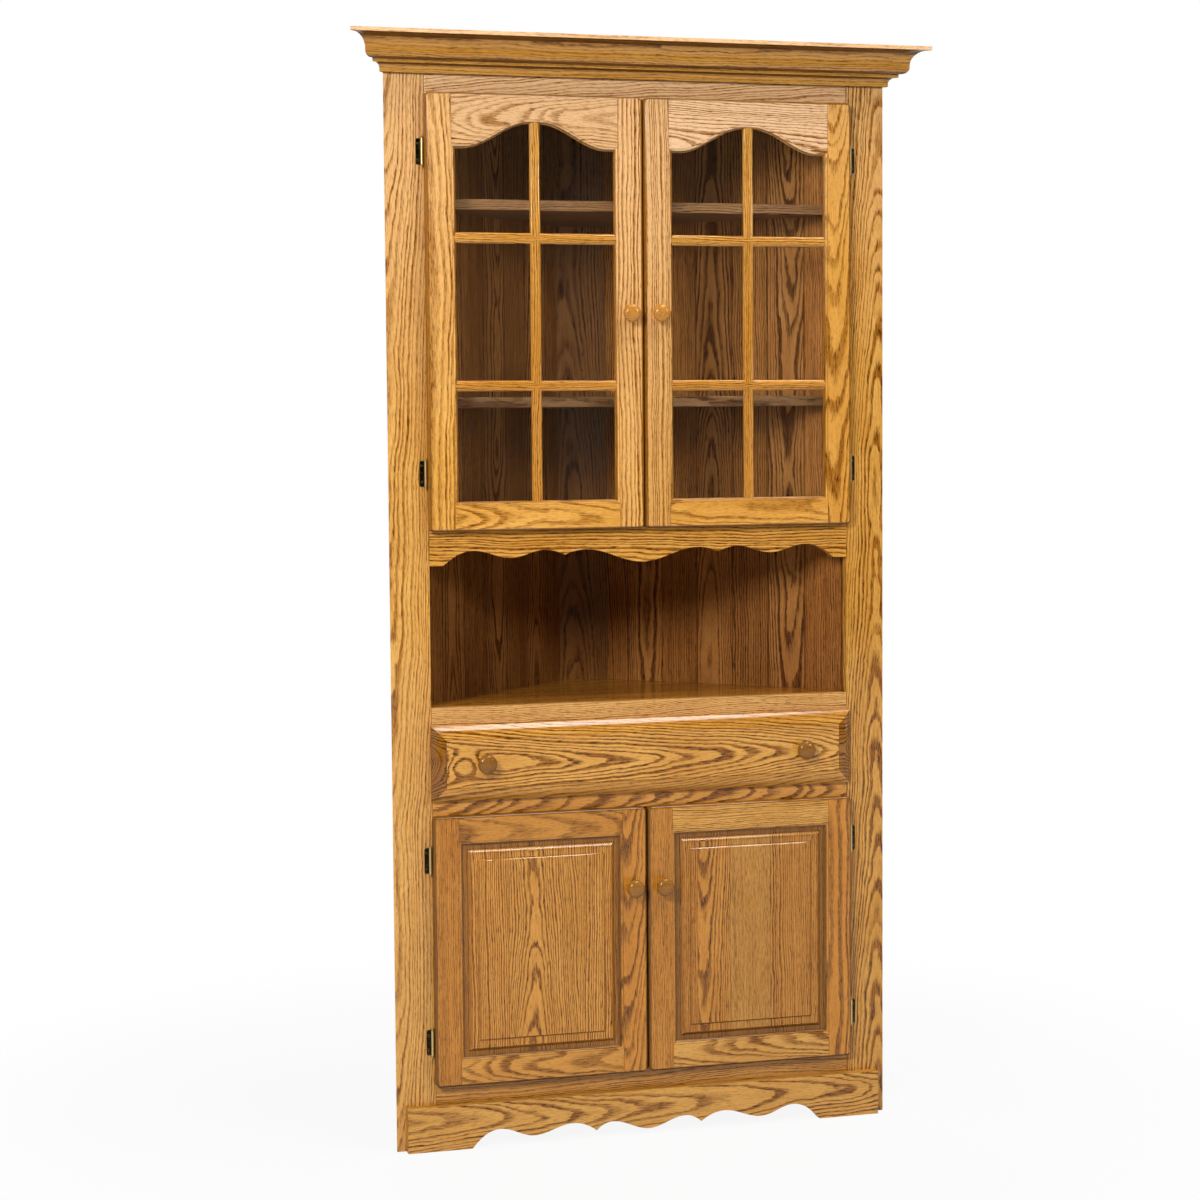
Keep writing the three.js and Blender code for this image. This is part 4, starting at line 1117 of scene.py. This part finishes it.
# Turned knobs: share of the radius, share of the length
KNOB_SHARES = (
    (0.52, 0), (0.52, 0.06), (0.46, 0.12), (0.385, 0.22), (0.385, 0.31), (0.50, 0.39), (0.80, 0.46),
    (0.95, 0.54), (1, 0.64), (0.965, 0.76), (0.86, 0.86), (0.68, 0.935), (0.42, 0.985), (0.18, 0.998), (0, 1),
)
TURNED_SEGMENTS = 40
KNOB_CUT = (0.2, 0.022, None, 0.0026)
KNOB_WARMTH = 0.5
KNOB_FIGURE = 0.6


def lathe(shares, radius, length, place):
    """Turns a profile about an axis; place turns (across, sideways, along) into a point. A profile may end
    on the axis, but it starts away from it.
    """
    skin = Skin()
    turns = [i / TURNED_SEGMENTS * 2 * math.pi for i in range(TURNED_SEGMENTS)]
    rings = []
    for across, along in shares:
        reach, level = across * radius, along * length
        points = [place(reach * math.cos(a), reach * math.sin(a), level) for a in turns]
        rings.append(skin.ring(points if across > TINY else [place(0, 0, level)]))
    for first, second in zip(rings, rings[1:]):
        if len(second) > 1:
            skin.bridge(first, second)
            continue
        for corner, following in zip(first, first[1:] + first[:1]):
            skin.bm.faces.new((corner, following, second[0]))
    skin.cap(rings[0])
    if len(rings[-1]) > 1:
        skin.cap(rings[-1])
    return skin.done()


def knob(name, body, tone):
    low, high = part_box(name)
    centre = (low + high) / 2
    radius = (high.z - low.z) / 2
    bm = lathe(smooth(KNOB_SHARES), radius, high.y - low.y,
               lambda a, b, along: Vector((centre.x + a, high.y - along, centre.z + b)))
    board = Board(name, BACK, UP, centre, radius, (*KNOB_CUT, tone, KNOB_WARMTH, KNOB_FIGURE))
    wooden(name, bm, one(board), body, "knob_oak")


def smooth(points, steps=3):
    """More points on a smooth curve through the given ones."""

    def curve(a, b, c, d, t):
        bend = (2 * a - 5 * b + 4 * c - d) * t ** 2 + (3 * b - a - 3 * c + d) * t ** 3
        return 0.5 * (2 * b + (c - a) * t + bend)

    made = [points[0]]
    for i in range(len(points) - 1):
        near = (points[max(i - 1, 0)], points[i], points[i + 1], points[min(i + 2, len(points) - 1)])
        for step in range(1, steps + 1):
            made.append([curve(*values, step / steps) for values in zip(*near)])
    return [(max(0, a), b) for a, b in made]


# Hinges
BARREL_RADIUS = 0.0028
PIN_STANDOFF = 0.006
BARREL_DOOR_GAP = 0.0008
KNUCKLE = 0.016
KNUCKLE_GAP = 0.0004
FINIAL = 0.004
FINIAL_SHARES = (
    (0.95, 0), (0.98, 0.10), (0.62, 0.24), (0.55, 0.32), (0.86, 0.50), (0.92, 0.62), (0.70, 0.86), (0, 1),
)
KNUCKLE_SHARES = ((0.90, 0), (1, 0.03), (1, 0.97), (0.90, 1))
LEAF_INSET = 0.0014
LEAF_CORNER = 0.003
LEAF_EDGE = 0.0004
LEAF_WORN_EDGE = 0.0006
LEAF_FLAT_LEAN = 0.99
BARREL_REACH = BARREL_RADIUS * 1.05
CORNER_STEPS = 5
NECK_HALF_WIDTH = 0.0012
WING_WIDTH = 0.0024
SCREW_RADIUS = 0.0021
SCREW_HEIGHT = 0.0009
SCREW_SHARES = ((1, 0), (0.96, 0.35), (0.72, 0.8), (0.35, 1), (0, 1))
SCREW_INSET = 0.0062
SCREW_SPREAD = 0.62


def rounded(near, far, low, high):
    """Outline of a leaf whose two far corners are round."""
    sign = 1 if far > near else -1
    centre = far - sign * LEAF_CORNER
    points = [(near, low)]
    for centre_z, start in ((low + LEAF_CORNER, -90), (high - LEAF_CORNER, 0)):
        corner = quarter(0, centre_z, LEAF_CORNER, start, CORNER_STEPS)
        points += [(centre + sign * across, z) for across, z in corner]
    return points + [(near, high)]


def add_to(bm, extra):
    mesh = mesh_from("extra", extra)
    bm.from_mesh(mesh)
    bpy.data.meshes.remove(mesh)


def turned(shares, radius, low, high, axis_x, axis_y):
    return lathe(shares, radius, high - low,
                 lambda a, b, along: Vector((axis_x + a, axis_y + b, low + along)))


def leaf(outline, ys):
    """A flat leaf whose border wears bright."""
    bm = soften(front_prism(outline, *ys), LEAF_EDGE, 2)
    bm.normal_update()
    flats = [face for face in bm.faces if abs(face.normal.y) > LEAF_FLAT_LEAN]
    bmesh.ops.inset_individual(bm, faces=flats, thickness=LEAF_WORN_EDGE)
    return bm


def hinge(hand, number):
    side = -1 if hand == "left" else 1
    part = "upper" if number < 3 else "lower"
    frame_leaf = f"hinge_{hand}_{number}_frame_leaf"
    door_leaf = f"hinge_{hand}_{number}_door_leaf"
    low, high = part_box(frame_leaf)
    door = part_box(f"{part}_door_{hand}_frame")
    edge = door[0].x if side < 0 else door[1].x
    axis_x = edge + side * (BARREL_DOOR_GAP + BARREL_RADIUS)
    axis_y = FACE - PIN_STANDOFF
    middle = (low.z + high.z) / 2
    half = (high.z - low.z) / 2 - FINIAL
    bearing = KNUCKLE / 2 + KNUCKLE_GAP
    leaf_back, leaf_front = DOOR_BACK + FIT, FACE - FIT
    leaf_ys = (leaf_back, leaf_front)
    leaf_far = high.x if side > 0 else low.x

    def add_knuckle(bm, start, end):
        """A turned knuckle, with the neck that joins it to its leaf."""
        add_to(bm, turned(KNUCKLE_SHARES, BARREL_RADIUS, start, end, axis_x, axis_y))
        neck_low = Vector((axis_x - NECK_HALF_WIDTH, axis_y, start))
        add_to(bm, brick(neck_low, Vector((axis_x + NECK_HALF_WIDTH, leaf_front, end))))

    bm = leaf(rounded(axis_x + side * LEAF_INSET, leaf_far, middle - half, middle + half), leaf_ys)
    for start, end in ((middle + bearing, middle + half), (middle - half, middle - bearing)):
        add_knuckle(bm, start, end)
        near, far = sorted((axis_x, axis_x + side * WING_WIDTH))
        add_to(bm, brick(Vector((near, leaf_back, start)), Vector((far, leaf_front, end))))
    for direction in (1, -1):
        ends = (middle + direction * half, middle + direction * (half + FINIAL))
        add_to(bm, turned(smooth(FINIAL_SHARES), BARREL_RADIUS, *ends, axis_x, axis_y))
        screw_height = middle - direction * half * SCREW_SPREAD
        add_to(bm, screw_head(Vector((axis_x + side * SCREW_INSET, leaf_back, screw_height))))
    metal(frame_leaf, bm, "cabinet", Vector((axis_x, axis_y)))

    low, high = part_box(door_leaf)
    leaf_far = low.x if side > 0 else high.x
    bm = leaf(rounded(axis_x, leaf_far, middle - KNUCKLE / 2, middle + KNUCKLE / 2), leaf_ys)
    add_knuckle(bm, middle - KNUCKLE / 2, middle + KNUCKLE / 2)
    metal(door_leaf, bm, f"{part}_door_{hand}", Vector((axis_x, axis_y)))


def screw_head(place):
    """A low domed head on a plate that faces the front."""
    return lathe(SCREW_SHARES, SCREW_RADIUS, SCREW_HEIGHT,
                 lambda a, b, along: place + Vector((a, -along, b)))


def metal(node, bm, body, axis):
    """Makes the brass piece of a hinge's node, and marks its barrel as handled."""
    bmesh.ops.recalc_face_normals(bm, faces=bm.faces)
    piece = finish_mesh(f"{node}_brass", bm, BRASS)
    on_barrel = [float((v.co.xy - axis).length < BARREL_REACH) for v in piece.data.vertices]
    piece.data.attributes.new("handled", "FLOAT", "POINT").data.foreach_set("value", on_barrel)
    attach(piece, body)
    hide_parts(node)


# The object, piece by piece. A board's numbers are its cut, in the order that Board gives, and the four
# boards of a door's frame are its left and right stiles and its top and bottom rails
stile("left_stile", -1, 0.6, 0.045, -0.030, 0.0046, 0.17, -0.08, 0.80)
stile("right_stile", 1, -0.35, 0.04, 0.05, 0.0042, -0.08, 0.10, 1.10)
rail("top_rail", 0.3, 0.05, 0.06, 0.0042, 0.05, -0.3)
rail("counter_rail", 2.2, 0.05, 0.004, 0.0027, 0.10, -0.2, 1.0)
rail("middle_rail", 0.2, 0.05, 0.1, 0.0046, 0.25, 0.5, 1.5)
rail("bottom_rail", 0.9, 0.04, 0.008, 0.0038, -0.2, 0.3)
wavy_board("valance_rail", VALANCE_WAVE_SHARES, VALANCE_SCALLOP, SOFT_EDGE,
           -0.8, 0.04, 0.015, 0.0043, 0.42, 0.1, 1.4)
wavy_board("base_skirt", SKIRT_WAVE_SHARES, SKIRT_SCALLOP, 0.0018,
           0.1, 0.045, 0.05, 0.0044, -0.22, 0.05, 1.25)
crown_moulding()
# The right wall gets a lighter tone than the left: painted light, for the lamp on the left that lights the
# right wall and leaves the left one in shade
wall("left_wall", -1, 0.05)
wall("right_wall", 1, 0.85)
back_panel()
for board_name in ("top_board", "display_floor", "drawer_deck", "cupboard_floor"):
    level_board(board_name, SOFT_EDGE, "case_oak")
level_board("counter_top", SOFT_EDGE, "front_oak", -1.0, 0.9)
# The shelves get a darker tone, painted shade for the dim light behind the glass, and a less orange colour of
# their own
for board_name in ("upper_shelf_high", "upper_shelf_low", "lower_shelf"):
    level_board(board_name, SHELF_EDGE, "case_oak", -0.35, -0.6)

glazed_door("left", (
    (0.9, 0.06, 0.012, 0.0067, 0.28, 0.05, 0.95),
    (1.4, 0.05, 0.003, 0.0067, 0.32, -0.15, 1.15),
    (0.1, 0.05, -0.05, 0.0036, -0.03, -0.25, 0.72),
    (-0.1, 0.045, 0.04, 0.0042, 0.30, 0.1, 0.9),
))
glazed_door("right", (
    (1.8, 0.05, 0.006, 0.0044, 0.10, -0.15, 1.2),
    (0.1, 0.05, -0.05, 0.0044, 0.16, 0.3, 0.9),
    (-0.6, 0.05, 0.04, 0.0036, 0.21, -0.6, 1.0),
    (0.2, 0.05, -0.035, 0.0042, 0.20, 0.2, 0.9),
))
# The lower doors' boards get darker tones than the upper doors': painted shade, for the weaker light near the
# floor
panelled_door("left", (
    (2.4, 0.04, 0.004, 0.0030, -0.34, 1.00, 1.15),
    (0.2, 0.05, -0.07, 0.0048, -0.34, 1.20, 1.1),
    (0.3, 0.05, 0.08, 0.0046, -0.50, 0.80, 1.0),
    (0.1, 0.05, -0.08, 0.0046, -0.24, 0.50, 1.0),
), (
    (1.1, 0.05, 0.004, 0.0038, -0.14, 0.60, 1.55),
    (0.15, 0.032, 0.035, 0.0034, -0.11, 0.40, 1.60),
    (-0.9, 0.05, 0.010, 0.0038, -0.14, 0.50, 1.45),
))
panelled_door("right", (
    (2.0, 0.04, 0.003, 0.0029, -0.32, 0.90, 1.155),
    (0.4, 0.05, -0.012, 0.0058, -0.26, 1.00, 1.15),
    (1.6, 0.04, 0.006, 0.0035, -0.10, 0.00, 1.0),
    (0.2, 0.05, -0.07, 0.0046, -0.17, 0.00, 1.15),
), (
    (1.6, 0.05, 0.004, 0.0035, -0.40, 0.90, 1.55),
    (0.3, 0.035, -0.032, 0.0034, -0.37, 0.80, 1.55),
    (2.6, 0.03, 0.003, 0.0021, -0.38, 0.20, 1.15),
    (1.4, 0.05, 0.010, 0.0038, -0.43, 0.80, 1.55),
    (-1.2, 0.05, 0.004, 0.0032, -0.40, 0.70, 1.55),
))
drawer_front()
for board_name in ("drawer_box_front", "drawer_box_back"):
    box_board(board_name, RIGHT, BACK)
for board_name in ("drawer_box_left", "drawer_box_right"):
    box_board(board_name, BACK, RIGHT)
box_board("drawer_box_base", RIGHT, UP)
for board_name in ("drawer_guide_left", "drawer_guide_right"):
    box_board(board_name, BACK, UP)
for hand in ("left", "right"):
    knob(f"upper_knob_{hand}", f"upper_door_{hand}", 0.8)
    knob(f"lower_knob_{hand}", f"lower_door_{hand}", -0.5)
    knob(f"drawer_knob_{hand}", "drawer", -0.9)
    for number in (1, 2, 3, 4):
        hinge(hand, number)

# Floor, world and lights
FLOOR_HALF = 9.0
AMBIENT = 0.06
GLOSS_FRONT = 0.05
FLOOR_GLOW_NEAR = 0.91
FLOOR_GLOW_REACH = (0.6, 1.7)
FLOOR_GREYS = ((0.60, 0.60, 0.60), (0.64, 0.64, 0.64))
CAMERA_TURNS = (-16.01, -3.96, -0.44)
CAMERA_PLACE = (-1.36157, -4.63459, 1.30344)
LENS = 77.24


def studio_floor():
    """It glows white for rays from the camera, and for those that mirrors and glass send on."""
    skin = Skin()
    corners = ((-1, -1), (1, -1), (1, 1), (-1, 1))
    skin.bm.faces.new(skin.ring([Vector((x * FLOOR_HALF, y * FLOOR_HALF, cad_low.z)) for x, y in corners]))
    g = Graph(bpy.data.materials.new("studio_floor"))
    place = g.node("ShaderNodeTexCoord", {}, "Object")
    g.surface(base_color=g.mix(g.noise(place, 3, 3), *FLOOR_GREYS), roughness=0.8, specular_ior_level=0.1)
    away = g.node("ShaderNodeVectorMath", {0: place}, "Value", operation="LENGTH")
    glow_share = g.scaled(g.between(away, *FLOOR_GLOW_REACH), 1 - FLOOR_GLOW_NEAR, FLOOR_GLOW_NEAR)
    path = g.node("ShaderNodeLightPath", {}).node.outputs
    sent_on = g.math("MAXIMUM", path["Is Glossy Ray"], path["Is Transmission Ray"])
    seen = g.math("MAXIMUM", path["Is Camera Ray"], sent_on)
    g.overlay(g.times(glow_share, seen), g.node("ShaderNodeEmission", {}))
    mesh = mesh_from("studio_floor", skin.bm)
    mesh.materials.append(g.owner)
    floor = add_object("studio_floor", mesh)


def studio_world():
    """White where it is seen directly or through glass; dimmer as a light and in the front's reflections."""
    world = bpy.data.worlds.new("studio")
    bpy.context.scene.world = world
    g = Graph(world)
    path = g.node("ShaderNodeLightPath", {}).node.outputs
    seen = g.math("MAXIMUM", path["Is Camera Ray"], path["Is Transmission Ray"])
    ahead = g.parts(g.node("ShaderNodeTexCoord", {}, "Generated"))[1]
    reflected = {"Value": ahead, "From Min": -0.1, "From Max": 0.5, "To Min": GLOSS_FRONT}
    behind = g.node("ShaderNodeMapRange", reflected)
    glossy = g.node("ShaderNodeMix", {"Factor": path["Is Glossy Ray"], "A": AMBIENT, "B": behind})
    background = g.tree.nodes["Background"].inputs
    background["Color"].default_value = (1, 1, 1, 1)
    g.put(background["Strength"], g.node("ShaderNodeMix", {"Factor": seen, "A": glossy, "B": 1.0}))


def softbox(name, place, target, width, height, power):
    light = bpy.data.lights.new(name, "AREA")
    light.shape = "RECTANGLE"
    light.size = width
    light.size_y = height
    light.energy = power
    lamp = add_object(name, light)
    lamp.location = place
    lamp.rotation_euler = (Vector(target) - Vector(place)).to_track_quat("-Z", "Y").to_euler()


def camera():
    """The photograph's viewpoint: a long lens left of the middle, above it, looking slightly down."""
    yaw, pitch, roll = (math.radians(turn) for turn in CAMERA_TURNS)
    forward = Vector((-math.sin(yaw) * math.cos(pitch), math.cos(yaw) * math.cos(pitch), math.sin(pitch)))
    level_right = Vector((math.cos(yaw), math.sin(yaw), 0))
    level_up = level_right.cross(forward)
    right = level_right * math.cos(roll) + level_up * math.sin(roll)
    up = level_up * math.cos(roll) - level_right * math.sin(roll)
    data = bpy.data.cameras.new("camera")
    data.sensor_width = 36
    data.lens = LENS
    made = add_object("camera", data)
    turn = Matrix((right, up, -forward)).transposed().to_4x4()
    made.matrix_world = Matrix.Translation(CAMERA_PLACE) @ turn
    bpy.context.scene.camera = made


studio_floor()
studio_world()
softbox("key", (-2.6, -3.3, 2.8), (0, 0, 1.1), 1.2, 1.2, 138)
softbox("fill", (3.3, -3.6, 2.9), (0, 0, 0.9), 0.8, 0.8, 45)
softbox("overhead", (1.2, -1.15, 4.5), (0, -0.1, 0.9), 2.6, 0.9, 112)
softbox("rear", (0, 4.6, 2.8), (0, 0.2, 1.0), 2.4, 1.6, 120)
camera()
bpy.context.scene.view_settings.view_transform = "Standard"
